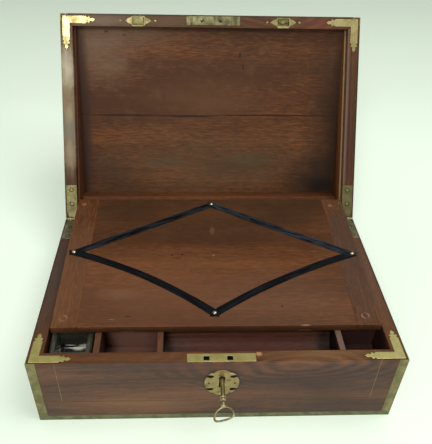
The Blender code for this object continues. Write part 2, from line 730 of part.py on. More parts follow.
def make_key(brass):
    """A hollow-ended key in the lock: turned shank with collars, wire bow and a bit inside the case."""
    axis = empty("key_axis", (KEY_X, -HALF_D, KEY_Z))
    axis.rotation_euler = (pi / 2, KEY_TURN, 0)
    tip = -(LOCK_CASE_INSET + LOCK_CASE_THICK - SHEET - GAP)
    bore = -LOCK_CASE_INSET - SHEET + GAP
    stem = [(0.75, 1), (1, 0.97), (1, 0.88), (0.62, 0.84), (0.8, 0.6), (0.68, 0.34), (1, 0.28)]
    stem += [(1, 0.14), (0.55, 0.1), (0.55, 0)]
    profile = [(0, KEY_REACH)]
    profile += [(COLLAR_RADIUS * r, KEY_REACH - KEY_STEM * (1 - along)) for r, along in stem]
    profile += [(KEY_RADIUS, KEY_REACH - KEY_STEM)]
    profile += [(KEY_RADIUS, tip), (PIN_RADIUS + GAP, tip), (PIN_RADIUS + GAP, bore), (0, bore)]
    key = part("key", turned_mesh(profile), brass, axis)
    bow = bow_mesh()
    middle = Matrix.Translation((0, 0, KEY_REACH + BOW_LENGTH / 2))
    bow.transform(middle @ Matrix.Rotation(pi / 2, 4, "Z"))
    join(key, bow, axis)
    bit_low = (-BIT_THICK / 2, -BIT_REACH, tip + GAP)
    join(key, box_mesh(bit_low, (BIT_THICK / 2, -KEY_RADIUS / 1.2, tip + GAP + BIT_WIDTH)), axis)


def make_link_plate(lid, brass):
    """The lid's plate over the lock, with two staples whose eyes take the bolt's hooks."""
    rim, front_wall = lid[1], lid[2]["front"]
    half = LINK_PLATE_LENGTH / 2
    edge = -RIM_LENGTH + LOCK_PLATE_INSET
    outline = rectangle(LOCK_X - half, edge, LOCK_X + half, edge + LOCK_PLATE_WIDTH)
    plate = inlay("lock_link_plate", [outline], 1, brass, rim, [front_wall])
    y = -RIM_LENGTH + STAPLE_INSET
    for x in STAPLE_X:
        low = (x - STAPLE_WIDTH / 2, y - STAPLE_THICK / 2, -STAPLE_LENGTH)
        high = (x + STAPLE_WIDTH / 2, y + STAPLE_THICK / 2, RIM_LEVEL + PLATE / 2)
        join(plate, box_mesh(low, high), rim)
        eye_low = (x - STAPLE_WIDTH, y - EYE_WIDTH / 2, -EYE_CENTRE - EYE_HEIGHT / 2)
        eye_high = (x + STAPLE_WIDTH, y + EYE_WIDTH / 2, -EYE_CENTRE + EYE_HEIGHT / 2)
        cut(box_mesh(eye_low, eye_high), [plate], rim)


def catch_outline(x, y):
    """A pointed lozenge with a square middle, in the lid's rim."""
    half = CATCH_LENGTH / 2
    wide = CATCH_WIDTH / 2
    square = CATCH_WINDOW / 2 + 1.5 * MM
    quarter = [(half, 0), (half - 4 * MM, 0.45 * wide), (square + 1 * MM, 0.7 * wide)]
    quarter += [(square, 0.76 * wide), (square, wide)]
    top = quarter + [(-a, b) for a, b in reversed(quarter)]
    bottom = [(a, -b) for a, b in reversed(top[1:-1])]
    return [(x + a, y + b) for a, b in top + bottom]


def make_catch(hand, x, lid, brass):
    """A sliding catch for the flap: a windowed plate and a blade with a thumb piece behind it."""
    rim, front_wall = lid[1], lid[2]["front"]
    y = -RIM_LENGTH + CATCH_INSET + CATCH_WIDTH / 2
    half_window = CATCH_WINDOW_WIDTH / 2
    window = rectangle(x - CATCH_WINDOW / 2, y - half_window, x + CATCH_WINDOW / 2, y + half_window)
    inlay(f"catch_plate_{hand}", [catch_outline(x, y), window], 1, brass, rim, [front_wall])
    blade_low = RIM_LEVEL + PLATE + 2 * GAP
    blade_high = blade_low + CATCH_BLADE_THICK
    start = y - half_window + GAP
    inner_face = -((HALF_D + HINGE_SETBACK + INNER_Y) / cos(SLOPE) + blade_high * tan(SLOPE))
    half = CATCH_BLADE / 2
    blade = box_mesh((x - half, start, blade_low), (x + half, inner_face - GAP, blade_high))
    catch = part(f"catch_{hand}", blade, brass, rim)
    thumb = CATCH_WINDOW / 2 - 2 * GAP
    thumb_high = (x + thumb, start + CATCH_THUMB, blade_low + GAP)
    join(catch, box_mesh((x - thumb, start, RIM_LEVEL), thumb_high), rim)
    well_low = (x - thumb - GAP, start - GAP, 0)
    cut(box_mesh(well_low, (x + thumb + GAP, y + half_window, blade_high + 2 * GAP)), [front_wall], rim)
    slot_low = (x - half - GAP, y, blade_low - GAP / 2)
    cut(box_mesh(slot_low, (x + half + GAP, inner_face + WALL / 2, blade_high + GAP)), [front_wall], rim)


def make_lid_top(lid, veneer_wood, inner_wood):
    """The lid's top: two boards joined across, veneered outside, and the linings inside the walls."""
    axis = lid[4]
    edge_x = HALF_W - BAND - GAP
    edge_y = HALF_D - BAND - GAP
    board_high = CLOSED_HEIGHT - VENEER - GAP
    board_low = board_high - TOP_BOARD
    for name, y0, y1 in (
        ("lid_front_board", -edge_y, BOARD_JOINT_Y - GAP / 2),
        ("lid_back_board", BOARD_JOINT_Y + GAP / 2, edge_y),
    ):
        mesh = box_mesh((-edge_x, y0, board_low), (edge_x, y1, board_high))
        soften(part(name, in_lid(mesh), inner_wood, axis), ARRIS / 2, 1)
    mesh = box_mesh((-edge_x, -edge_y, CLOSED_HEIGHT - VENEER), (edge_x, edge_y, CLOSED_HEIGHT))
    part("lid_top_veneer", in_lid(mesh), veneer_wood, axis)
    lining_top = board_low - GAP
    for hand, side in (("left", -1), ("right", 1)):
        low, high = sorted((side * (INNER_X - GAP), side * (INNER_X - GAP - LINING)))
        mesh = box_mesh((low, -INNER_Y + GAP, BACK_HEIGHT), (high, INNER_Y - GAP, lining_top))
        part(f"lid_{hand}_lining", in_lid(above_rim(mesh, LINING_DEPTH)), inner_wood, axis)
    side = INNER_X - LINING - 2 * GAP
    mesh = box_mesh((-side, INNER_Y - BACK_LINING, BACK_HEIGHT), (side, INNER_Y - GAP, lining_top))
    soften(part("lid_back_lining", in_lid(above_rim(mesh, BACK_LINING_DEPTH)), inner_wood, axis))


def bowed_loop(corners, bows, steps=8):
    """A closed loop whose sides sag inward by the given bows."""
    loop = []
    for n, bow in enumerate(bows):
        start, end = corners[n], corners[(n + 1) % len(corners)]
        side = end - start
        inward = Vector((-side.y, side.x)).normalized()
        count = steps if bow else 1
        for step in range(count):
            t = step / count
            loop.append(tuple(start + side * t + inward * (bow * 4 * t * (1 - t))))
    return loop


def make_flap(base_rim, wood, clamp_wood, ribbon, brass, leather):
    """The lid's writing flap laid over the base: framed panel, ribbon diamond, studs and hinge strip."""
    front = RIM_LENGTH - FLAP_SETBACK
    place = (0, FLAP_LENGTH * cos(FLAP_TILT) - front, FLAP_LIFT)
    axis = empty("flap_axis", place, FLAP_TILT, base_rim)
    panel_x = FLAP_WIDTH / 2 - CLAMP - GAP / 2
    panel = part("flap_panel", box_mesh((-panel_x, -FLAP_LENGTH, 0), (panel_x, 0, FLAP_THICK)), wood, axis)
    soften(panel)
    clamps = []
    for hand, side in (("left", -1), ("right", 1)):
        low, high = sorted((side * (panel_x + GAP), side * FLAP_WIDTH / 2))
        mesh = box_mesh((low, -FLAP_LENGTH, 0), (high, 0, FLAP_THICK))
        clamps.append(soften(part(f"flap_clamp_{hand}", mesh, clamp_wood, axis)))
    for x in CATCH_X:
        half = CATCH_BLADE / 2 + 2 * GAP
        low = (x - half, -FLAP_LENGTH - WALL, MORTISE_LIP)
        high = (x + half, -FLAP_LENGTH + MORTISE_DEPTH, MORTISE_LIP + CATCH_BLADE_THICK + 3 * GAP)
        cut(box_mesh(low, high), [panel], axis)
    make_ribbon(axis, [panel] + clamps, ribbon, brass)
    side = FLAP_WIDTH / 2 - WALL / 2
    strip_low = (-side, -STRIP_SETBACK - STRIP_WIDTH, -GAP - STRIP_THICK)
    part("flap_hinge_strip", box_mesh(strip_low, (side, -STRIP_SETBACK, -GAP)), leather, axis)


def make_ribbon(axis, boards, ribbon, brass):
    """A black ribbon stretched round four brass studs, to hold papers."""
    side = FLAP_WIDTH / 2 - SIDE_STUD_INSET
    middle = -FLAP_LENGTH / 2
    corners = [
        (0, -BACK_STUD_INSET), (-side, middle + LEFT_STUD_SHIFT),
        (FRONT_STUD_X, FRONT_STUD_INSET - FLAP_LENGTH), (side, middle + RIGHT_STUD_SHIFT),
    ]
    bows = (0, FRONT_LEFT_BOW, FRONT_RIGHT_BOW, 0)
    half = RIBBON_WIDTH / 2
    low = FLAP_THICK + GAP
    high = low + RIBBON_THICK
    loops = [bowed_loop(mitre_corners(corners, reach), bows) for reach in (half, -half)]
    band = part("flap_ribbon", outline_mesh(loops, low, high), ribbon, axis)
    under = high + GAP
    head = 4
    turns = [pi / 2 * n / head for n in range(head + 1)]
    dome = [(STUD_RADIUS * sin(turn), under + STUD_HEIGHT * cos(turn)) for turn in turns]
    bottom = FLAP_THICK - STUD_DEPTH
    profile = dome + [(STUD_SHANK, under), (STUD_SHANK, bottom), (0, bottom)]
    for name, (x, y) in zip(("back", "left", "front", "right"), corners):
        mesh = turned_mesh(profile, 12)
        mesh.transform(Matrix.Translation((x, y, 0)))
        part(f"flap_stud_{name}", mesh, brass, axis)
        hole = rod_mesh(STUD_SHANK + GAP, bottom - GAP, high + STUD_HEIGHT, 12)
        hole.transform(Matrix.Translation((x, y, 0)) @ Matrix.Rotation(-pi / 2, 4, "Y"))
        cut(hole, boards + [band], axis)


def make_base(woods, brass, glass, steel):
    """The box below the rim."""
    veneer_wood, wood, dark_wood = woods
    rim = empty("base_rim", HINGE, -SLOPE)
    walls = make_walls("base", BOTTOM_BOARD + GAP, FRONT_HEIGHT, below_rim, veneer_wood, None)
    foot = BOTTOM_BOARD + GAP
    straps = make_straps("base", foot, FRONT_HEIGHT, below_rim, brass, None, walls, in_place)
    make_band("base_edge_band", 0, BOTTOM_BOARD, brass)
    edge = Vector((HALF_W - BAND - GAP, HALF_D - BAND - GAP, 0))
    part("base_bottom", box_mesh(-edge, edge + Vector((0, 0, BOTTOM_BOARD))), dark_wood)
    make_trays(wood, dark_wood, glass)
    base = ("base", rim, walls, straps)
    for hand, side in (("left", -1), ("right", 1)):
        name = f"base_corner_plate_{hand}"
        inlay(name, [corner_outline(side)], -1, brass, rim, [walls["front"], walls[hand]])
    make_lock(base, brass, steel)
    make_key(brass)
    return base


def make_lid(woods, brass):
    """The box above the rim, swung open on its hinge axis."""
    veneer_wood, wood, _ = woods
    axis = empty("lid_axis", HINGE, -LID_OPEN)
    rim = empty("lid_rim", (0, 0, 0), -SLOPE, axis)
    wall_top = CLOSED_HEIGHT - TOP_THICK - GAP

    def shape(mesh):
        return in_lid(above_rim(mesh))

    walls = make_walls("lid", 0, wall_top, shape, veneer_wood, axis)
    straps = make_straps("lid", 0, wall_top, shape, brass, axis, walls, in_lid)
    make_band("lid_edge_band", CLOSED_HEIGHT - TOP_THICK, CLOSED_HEIGHT, brass, axis, in_lid)
    lid = ("lid", rim, walls, straps, axis)
    make_lid_top(lid, veneer_wood, wood)
    for hand, side in (("left", -1), ("right", 1)):
        name = f"lid_corner_plate_{hand}"
        inlay(name, [corner_outline(side)], 1, brass, rim, [walls["front"], walls[hand]])
    make_link_plate(lid, brass)
    for hand, x in zip(("left", "right"), CATCH_X):
        make_catch(hand, x, lid, brass)
    return lid


def main():
    veneer_wood = material("rosewood_veneer", (0.115, 0.062, 0.04), 0.4)
    wood = material("mahogany", (0.14, 0.066, 0.034), 0.45)
    dark_wood = material("dark_mahogany", (0.055, 0.02, 0.014), 0.5)
    brass = material("old_brass", (0.4, 0.33, 0.12), 0.4, 1.0)
    steel = material("iron_sheet", (0.2, 0.19, 0.18), 0.5, 1.0)
    glass = material("green_glass", (0.72, 0.8, 0.74), 0.05, 0.0, 0.9)
    ribbon = material("black_ribbon", (0.012, 0.013, 0.016), 0.6)
    leather = material("worn_leather", (0.05, 0.025, 0.015), 0.7)
    woods = (veneer_wood, wood, dark_wood)
    base = make_base(woods, brass, glass, steel)
    lid = make_lid(woods, brass)
    for hand, side in (("left", -1), ("right", 1)):
        make_hinge(hand, side, base, lid[:4], brass)
    make_flap(base[1], wood, wood, ribbon, brass, leather)


for old in list(bpy.data.objects):
    bpy.data.objects.remove(old)
PARTS = collection("writing_box")
CUTTERS = collection("writing_box_cutters")
main()
bpy.context.view_layer.update()
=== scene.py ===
"""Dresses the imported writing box: woods, brasswork, glass, ribbon, key and small fittings.

Lengths are in metres, except in the tables of places and marks and where a name or docstring says mm.
The frame is the CAD model's: +Z up, -Y the lock side.
"""

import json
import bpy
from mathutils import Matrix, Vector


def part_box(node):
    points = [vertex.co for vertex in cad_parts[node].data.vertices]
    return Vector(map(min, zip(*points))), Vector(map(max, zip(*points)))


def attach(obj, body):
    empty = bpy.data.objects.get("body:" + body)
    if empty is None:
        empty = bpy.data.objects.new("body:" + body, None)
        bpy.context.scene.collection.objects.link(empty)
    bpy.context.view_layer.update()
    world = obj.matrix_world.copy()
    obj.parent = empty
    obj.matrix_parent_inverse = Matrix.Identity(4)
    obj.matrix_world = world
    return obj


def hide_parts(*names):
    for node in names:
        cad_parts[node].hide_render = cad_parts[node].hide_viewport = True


bl_info = {
    "name": "Brass-bound writing box",
    "version": (1, 0, 0),
    "blender": (4, 5, 0),
    "location": "3D View > Sidebar > Writing box",
    "description": "Puts woods, brass, glass, ribbon and fittings on the packed writing box",
    "category": "Object",
}

from functools import partial
from math import atan2, cos, pi, radians, sin, tau

import bpy
import numpy as np
from bpy.props import FloatProperty, FloatVectorProperty, PointerProperty
from mathutils import Matrix, Vector

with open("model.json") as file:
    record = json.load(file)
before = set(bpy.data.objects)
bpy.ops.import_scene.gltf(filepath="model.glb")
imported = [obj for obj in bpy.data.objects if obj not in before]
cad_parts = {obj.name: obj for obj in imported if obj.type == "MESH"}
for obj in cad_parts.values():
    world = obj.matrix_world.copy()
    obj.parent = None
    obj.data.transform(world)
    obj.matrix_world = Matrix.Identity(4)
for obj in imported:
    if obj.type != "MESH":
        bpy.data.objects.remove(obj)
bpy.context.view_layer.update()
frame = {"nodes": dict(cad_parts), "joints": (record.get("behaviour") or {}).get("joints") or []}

MM = 0.001
LID_HINGE = next(joint for joint in frame["joints"] if joint["name"] == "lid_hinge")
HINGE = np.array(LID_HINGE["pos_m"])
LID_TURN = radians(LID_HINGE["range_deg"][0])
SLOPE = atan2(42, 270)  # the rim rises 42 mm over the depth of the box
FLAP_ORIGIN = np.array((0, 146.642, 80.299)) * MM  # the flap's hinged edge at rest
FLAP_TURN = radians(4.2575) - SLOPE
KEY_ORIGIN = np.array((3.5, -135, 76.5)) * MM
KEY_TURN = radians(65)

# Each place is a turn about X and the point of the CAD frame that it turns and counts from.
# base and lid count in the closed box's own coordinates, the rims from the hinge line.
PLACES = {
    "base": (0.0, np.zeros(3)),
    "rim": (-SLOPE, HINGE),
    "lid": (LID_TURN, HINGE - np.array(Matrix.Rotation(LID_TURN, 3, "X")) @ HINGE),
    "lid_rim": (LID_TURN - SLOPE, HINGE),
    "flap": (FLAP_TURN, FLAP_ORIGIN),
}

# Levels in mm: the front face, the flap's upper face, half the gap between the closed rims, and how far
# out in X and in Y the core of the walls reaches before the veneer starts
FRONT_MM, FLAP_TOP_MM, RIM_MM = -135, 8.7, 0.15
CORE_MM = (199.1, 134.1)

# Small fittings: the ribbon's studs in metres, and in mm those on the flap (a plug with its share of the
# full size), on the two rims, on the catches, on the escutcheon's face and on the front
STUDS = np.array(((0, -13), (-172, -113), (-3, -218.5), (172, -118))) * MM
PLUGS = ((-172, -11.5, 1), (163.4, -14.4, 1), (-0.9, -118.6, 0.6))
PLUG_RINGS = ((-169, -223.6), (165.4, -223.3))
BUSHING = (176.6, -8.5, FLAP_TOP_MM)
HINGE_SCREWS = ((-191.2, -40), (-191.2, -20.5), (191.2, -40), (191.2, -20.5))
CATCHES_X, CATCH_BEADS_X = (-98.05, 96.05), (-121.2, -74.9, 74.4, 117.7)
CATCH_SCREW_X, CATCH_OVAL_X = 108.3, 95.2
CATCH_Y, COVER_Y, LIP_Y = -265.25, -265.0, -258.6
SHIELD_FACE_MM = -135.5
SHIELD_PINS = ((-10.5, 68.7), (17.5, 68.7))
SHIELD_SLITS = ((-8.5, 80.6), (-9, 57.5), (15.3, 80.6), (15, 57.2))
STRING_LOW, STRING_HIGH, STRING_SIDE = 36.2, 105.2, 170.5

# The photograph's eye, and the lamps by name, place in metres, width and power
EYE_MM = (-35.5, -528.5, 657.3)
YAW, PITCH, ROLL = radians(3.70), radians(42.03), radians(2.40)
FOCAL_PX, FRAME_PX, SENSOR_MM = 639.2, 444, 36.0
LAMPS = (
    ("lamp_above_right", (0.6, -0.15, 1.85), 1.2, 15.0),
    ("lamp_by_camera", (-0.40, -1.35, 1.70), 0.5, 14.0),
    ("lamp_front", (-0.35, -1.9, 0.8), 1.4, 2.5),
)
LAMP_AIM = Vector((0, 0, 0.1))

# Two inputs of the Mix node, and its settings and output, when it mixes colours
MIX_A, MIX_B = 6, 7
MIX_COLOURS = {"data_type": "RGBA", "out": 2}
# Where the four tones of a wood stand on its scale from dark to light
TONE_STOPS = (0.3, 0.44, 0.56, 0.7)
# Cosines between rounded and flat normal at which an edge starts to be rubbed and painted lighter, and is
# most so
EDGE_LIGHT_START, EDGE_LIGHT_FULL = 0.995, 0.86
# Faces that meet at a greater angle keep a hard edge
SHARP_ANGLE = radians(38)

# Marks on the woods, of use and of figure, and painted shade and light where a comment says so: centre and
# radii in mm of the wood's own place, tint, strength and raggedness, and last, where it isn't the usual one,
# the share of the radius over which the mark fades.
DARK_SPOT, PALE_SPOT = "#23150d", "#a47a54"
FLAP_MARKS = (
    ((0, -20, 8.7), (260, 78, 40), "#3c2818", 0.6, 0.35),
    ((-60, -185, 8.7), (190, 90, 40), "#84583e", 0.4, 0.4, 0.9),
    ((-0.9, -70, 8.7), (4, 9, 4), "#8a6244", 0.3, 1.6),
    ((-105, -30, 8.7), (55, 34, 20), "#2f1e0f", 0.5, 0.9, 0.9),
    ((90, -38, 8.7), (70, 34, 20), "#2f1d10", 0.48, 0.9, 0.9),
    # Painted sheen at the front right
    ((90, -200, 8.7), (120, 70, 40), "#7a5c4a", 0.25, 0.5, 0.9),
    ((5, -92, 8.7), (90, 12, 10), "#3a2415", 0.45, 0.9, 0.9),
    ((-110, -186, 8.7), (34, 12, 10), "#8f654a", 0.3, 0.9, 0.9),
    # Painted shade along the lower part of the front edge
    ((0, -240, 2), (420, 4.5, 8), "#24140c", 0.62, 0.2, 0.3),
    ((-90, -136, 8.7), (10, 5, 3), "#7a3d24", 0.4, 0.9),
    ((-1.3, -211.3, 8.7), (5, 3, 3), "#56603f", 0.7, 0.4),
    ((-39.3, -117.3, 8.7), (2.6, 1.5, 2), DARK_SPOT, 0.95, 0.5),
    ((-51.9, -118.3, 8.7), (2.2, 1.4, 2), DARK_SPOT, 0.9, 0.5),
    ((73.8, -207.9, 8.7), (1.7, 1.7, 2), DARK_SPOT, 0.8, 0.5),
    ((75.3, -13.9, 8.7), (1.8, 1.6, 2), DARK_SPOT, 0.8, 0.5),
    ((-98.8, -221.6, 8.7), (4, 0.9, 2), DARK_SPOT, 0.8, 0.5),
    ((115.3, -11.1, 8.7), (3.2, 1.4, 2), DARK_SPOT, 0.8, 0.9),
    ((-116.6, -226.1, 8.7), (4, 0.8, 2), PALE_SPOT, 0.5, 0.5),
    ((96.2, -236.6, 7.9), (7, 1.0, 1.6), PALE_SPOT, 0.8, 0.6),
    ((-99.5, -237, 5), (6, 1.5, 4), "#4a4038", 0.8, 0.6),
)
CLAMP_MARKS = (
    ((168, -118, 8.7), (40, 150, 40), "#4a3a30", 0.5, 0.5),
    ((-168, -150, 8.7), (40, 110, 40), "#714c32", 0.4, 0.5),
    # Painted shade along the lower part of the front edge
    ((0, -240, 2), (420, 4.5, 8), "#24140c", 0.62, 0.2, 0.3),
)
LID_MARKS = (
    ((-165, -105, 120.3), (80, 55, 30), "#8a7662", 0.32, 1.6, 0.95),
    ((-115, -112, 120.3), (90, 24, 30), "#8a7662", 0.3, 1.6, 0.95),
    ((-150, -70, 120.3), (60, 40, 30), "#8a7662", 0.2, 1.6, 0.95),
    # Painted shade beside the left lining
    ((-190, 0, 120.3), (25, 220, 30), "#371f13", 0.85, 0.12, 0.35),
    ((0, 75, 120.3), (210, 64, 30), "#5f4e36", 0.4, 0.9, 0.9),
    ((0, -20, 120.3), (120, 40, 30), "#7a5234", 0.35, 1.0, 0.9),
    # Painted shade along the right lining and the left edge, and in the lower corners
    ((184, 10, 120.3), (56, 175, 30), "#2b1a0d", 0.88, 0.5, 0.9),
    ((-184, 20, 120.3), (26, 150, 30), "#33231a", 0.6, 0.5, 0.9),
    ((-140, 98, 120.3), (70, 44, 30), "#33281a", 0.55, 0.9, 0.9),
    ((160, 96, 120.3), (66, 50, 30), "#150e0a", 0.9, 0.9, 0.9),
    ((30, 74, 120.3), (100, 22, 30), "#3c2e1d", 0.35, 1.2, 0.9),
    # Painted shadow under the top edge
    ((0, -121, 120.3), (240, 13, 30), "#2a1a10", 0.55, 0.3, 0.9),
    ((-64, 66, 120.3), (44, 10, 30), "#4d4832", 0.55, 1.2, 0.9),
    ((58, 62, 120.3), (52, 11, 30), "#4d4832", 0.5, 1.2, 0.9),
    ((-118, 0.2, 120.3), (62, 1.6, 4), "#1f130b", 0.85, 1.2),
    ((-30, 1.2, 120.3), (48, 1.8, 4), "#1f130b", 0.85, 1.2),
    ((90, -0.8, 120.3), (90, 1.5, 4), "#1f130b", 0.8, 1.3),
    ((40, -83, 120.3), (2.2, 5, 4), DARK_SPOT, 0.75, 0.7),
    ((44.6, -67.4, 120.3), (2.0, 4.5, 4), DARK_SPOT, 0.7, 0.7),
    ((-142, -112.4, 120.3), (3.6, 1.7, 3), DARK_SPOT, 0.75, 0.8),
    ((-118, -108, 120.3), (3.2, 1.5, 3), DARK_SPOT, 0.6, 0.8),
)
LINING_MARKS = (
    # Painted light on the right lining's face, a painted highlight along its edge, painted shade on the left
    # lining
    ((181, -137, 4), (4, 220, 30), "#9a6638", 0.6, 0.3, 0.3),
    ((181, -137, 9.5), (60, 200, 1.2), "#a5845f", 0.75, 0.3),
    ((-181, -137, 6), (8, 220, 8), "#2e1a11", 0.6, 0.3, 0.5),
)
TRAY_MARKS = (
    # Painted light in the middle compartment
    ((-95, -90, 70), (40, 40, 60), "#987060", 0.85, 0.4),
    ((35, -96, 66), (85, 40, 40), "#5a281b", 0.75, 0.5, 0.9),
    # Painted shade in the right compartment, at the pen tray's right end, and at both ends of the second
    # compartment
    ((160, -90, 70), (34, 60, 60), "#3d2d2f", 0.7, 0.4),
    ((124, -96, 70), (14, 40, 40), "#1d1210", 0.8, 0.4),
    ((-127, -96, 70), (13, 40, 40), "#241713", 0.6, 0.4, 0.9),
    ((-57, -96, 70), (12, 40, 40), "#140d0b", 0.8, 0.4, 0.8),
)
DIVIDER_MARKS = (
    # Painted shade on the dividers' sides below their tops
    ((0, -232, -24), (400, 60, 23), "#2a1a15", 0.8, 0.05, 0.12),
    ((129, -232, 0), (12, 60, 2), "#8a7b72", 0.32, 1.0, 0.5),
    # Painted shade on the right divider's side
    ((129.5, -232, -24), (2, 60, 23.5), "#0e0807", 0.9, 0.1, 0.3),
)
# Front and back walls, then side walls
WALL_MARKS = {
    "base": (
        (
            ((-90, -135, 30), (110, 6, 20), "#8f6340", 0.55, 0.8, 0.9),
            ((10, -135, 98), (130, 6, 9), "#6e3f33", 0.5, 0.8, 0.9),
            ((110, -135, 62), (110, 6, 48), "#3e2825", 0.85, 0.6, 0.9),
            ((3.5, -135, 69.4), (21.5, 8, 26), "#241a14", 0.85, 0.15, 0.14),
            ((-60, -127, 105), (130, 12, 5), "#8a6544", 0.2, 0.6, 0.9),
            ((110, -124, 104), (90, 14, 8), "#a07a54", 0.35, 0.5, 0.9),
            ((41.8, -123.6, 104.3), (4.2, 3.4, 5), "#b98b62", 0.8, 0.7),
        ),
        (
            ((-192, 0, 85), (14, 150, 60), "#3f3a35", 0.7, 0.5, 0.9),
            ((192, 0, 85), (14, 150, 60), "#755a4a", 0.4, 0.6, 0.9),
            ((-200, 0, 85), (2.8, 200, 60), "#231d14", 0.7, 0.3, 0.5),
            ((200, 0, 85), (2.8, 200, 60), "#231d14", 0.7, 0.3, 0.5),
            # Painted shade on the walls' inner faces beside the trays
            ((184, -96, 68), (5, 34, 34), "#2b1e1e", 0.85, 0.2, 0.3),
            ((-184, -96, 68), (5, 40, 33), "#341e17", 0.8, 0.2, 0.3),
        ),
    ),
    "lid": (
        (
            # Painted sheen on the left part of the front rim
            ((-150, -127, 106), (75, 12, 12), "#8a775f", 0.5, 0.8, 0.9),
            ((-60, -127, 106), (50, 12, 12), "#8a7450", 0.2, 0.8, 0.9),
            ((150, -127, 106), (40, 12, 12), "#74402e", 0.5, 0.8, 0.9),
            ((0, -135, 106), (280, 3, 14), "#2b2217", 0.7, 0.3, 0.5),
        ),
        (
            # Left rim: the pale patches are painted sheen, among brown, grey and dark patches
            ((-192, -20, 95), (14, 120, 60), "#b3a582", 0.7, 0.9, 0.9),
            ((-192, -66, 95), (14, 30, 60), "#c9bfa6", 0.7, 1.4, 0.9),
            ((-192, -26, 95), (14, 17, 60), "#6b4a36", 0.55, 1.2, 0.9),
            ((-192, 16, 95), (14, 18, 60), "#5f645f", 0.65, 1.2, 0.9),
            ((-192, 50, 95), (14, 20, 60), "#b5a488", 0.4, 1.4, 0.9),
            ((-192, 92, 95), (14, 28, 60), "#33281f", 0.65, 1.0, 0.9),
            ((192, 0, 95), (14, 160, 60), "#4a2f1b", 0.7, 0.7, 0.9),
            ((194, 55, 95), (8, 90, 60), "#452a1b", 0.6, 0.9, 0.9),
            ((185, 0, 95), (3, 200, 60), "#7d6a60", 0.5, 0.6, 0.5),
            ((189.6, 10, 95), (1.7, 190, 60), "#2a1a10", 0.65, 0.6, 0.7),
            ((195.5, 20, 95), (1.4, 150, 60), "#301c11", 0.5, 0.8, 0.7),
            ((200, 0, 95), (3.2, 220, 60), "#231d14", 0.75, 0.3, 0.5),
        ),
    ),
}
# Painted glints on the dried ink: pale patches that stand in for highlights seen through the glass
INK_GLINTS = (
    ((-165, -80, 66.5), (8, 4, 1.2), "#dcdccb", 0.9, 1.0),
    ((-149, -81, 65), (8.5, 6, 4), "#dcdccb", 0.9, 1.0),
    ((-157, -83, 62.5), (8, 3, 2.2), "#dcdccb", 0.9, 1.0),
    ((-155, -90, 61), (9, 4.5, 4), "#77756a", 0.7, 1.2),
)


def linear(code):
    """sRGB hex to linear RGB: a channel c becomes ((c + 0.055) / 1.055) ** 2.4, or c / 12.92 when dark."""
    channels = np.array([int(code[n:n + 2], 16) for n in (1, 3, 5)]) / 255
    curve = np.where(channels <= 0.04045, channels / 12.92, ((channels + 0.055) / 1.055) ** 2.4)
    return tuple(float(c) for c in curve)


def toned(colour, amount=1.0):
    """A colour made darker (amount below 1) or lighter, with full alpha."""
    return tuple(min(1.0, c * amount) for c in colour[:3]) + (1.0,)


def shade(code):
    """A hex code's colour for a node's socket."""
    return toned(linear(code))


def length_prop(name, description, default_mm):
    """A length that a user may change."""
    return FloatProperty(
        name=name, description=description, default=default_mm * MM, unit="LENGTH", precision=5
    )


def colour_prop(name, description, code):
    """A colour that a user may change, written as sRGB hex."""
    return FloatVectorProperty(
        name=name, description=description, default=linear(code), subtype="COLOR", min=0, max=1
    )


class WritingBoxSizes(bpy.types.PropertyGroup):
    """Sizes of the pieces that dress the box."""

    ribbon_width: length_prop("Ribbon width", "Width of the ribbon that holds papers", 10.1)
    ribbon_thickness: length_prop("Ribbon thickness", "Thickness of the woven ribbon", 0.45)
    ribbon_tail: length_prop("Ribbon tail", "How far a ribbon end runs past its stud", 6.5)
    stud_radius: length_prop("Stud radius", "Radius of a ribbon stud's head", 2.6)
    stud_rise: length_prop("Stud rise", "Height of a ribbon stud's dome", 2.0)
    screw_radius: length_prop("Screw radius", "Radius of a hinge screw's head", 2.4)
    plug_radius: length_prop("Plug radius", "Radius of the wooden plugs in the flap", 3.2)
    string_width: length_prop("Stringing width", "Width of the inlaid brass line", 0.75)
    bow_wire: length_prop("Bow wire", "Radius of the wire of the key's bow", 1.0)
    well_wall: length_prop("Ink well wall", "Thickness of the glass wall", 6.5)


class WritingBoxColours(bpy.types.PropertyGroup):
    """Colours of the finishes."""

    veneer: colour_prop("Veneer", "Middle tone of the rosewood veneer", "#664231")
    veneer_dark: colour_prop("Veneer dark", "Dark figure of the rosewood veneer", "#4a322a")
    veneer_light: colour_prop("Veneer light", "Pale figure of the rosewood veneer", "#7e5136")
    mahogany: colour_prop("Mahogany", "Middle tone of the mahogany", "#653a1b")
    mahogany_dark: colour_prop("Mahogany dark", "Dark streaks of the mahogany", "#4e2c14")
    mahogany_light: colour_prop("Mahogany light", "Pale streaks of the mahogany", "#7d4c26")
    brass: colour_prop("Brass", "Clean old brass", "#b9ad7a")
    brass_dark: colour_prop("Brass tarnish", "Tarnish on old brass", "#8c8053")
    ribbon: colour_prop("Ribbon", "Black ribbon", "#070708")
    glass: colour_prop("Glass", "Green tint of the ink well", "#a2a28a")
    floor: colour_prop("Floor", "Pale floor under the box", "#e8f5e3")


def feed(node, inputs):
    """Sets or links a node's inputs: a dict by name or number, or a row in the node's own order."""
    for name, value in inputs.items() if isinstance(inputs, dict) else enumerate(inputs):
        if isinstance(value, bpy.types.NodeSocket):
            node.id_data.links.new(value, node.inputs[name])
        else:
            node.inputs[name].default_value = value


def add_node(tree, kind, inputs=(), out=0, stops=(), **settings):
    """Adds one node with its settings, inputs and colour stops; hands back one output, or all for None."""
    node = tree.nodes.new("ShaderNode" + kind)
    for name, value in settings.items():
        setattr(node, name, value)
    feed(node, inputs)
    if stops:
        elements = node.color_ramp.elements
        while len(elements) < len(stops):
            elements.new(1.0)
        for element, (position, colour) in zip(elements, stops):
            element.position = position
            element.color = colour
    return node.outputs if out is None else node.outputs[out]


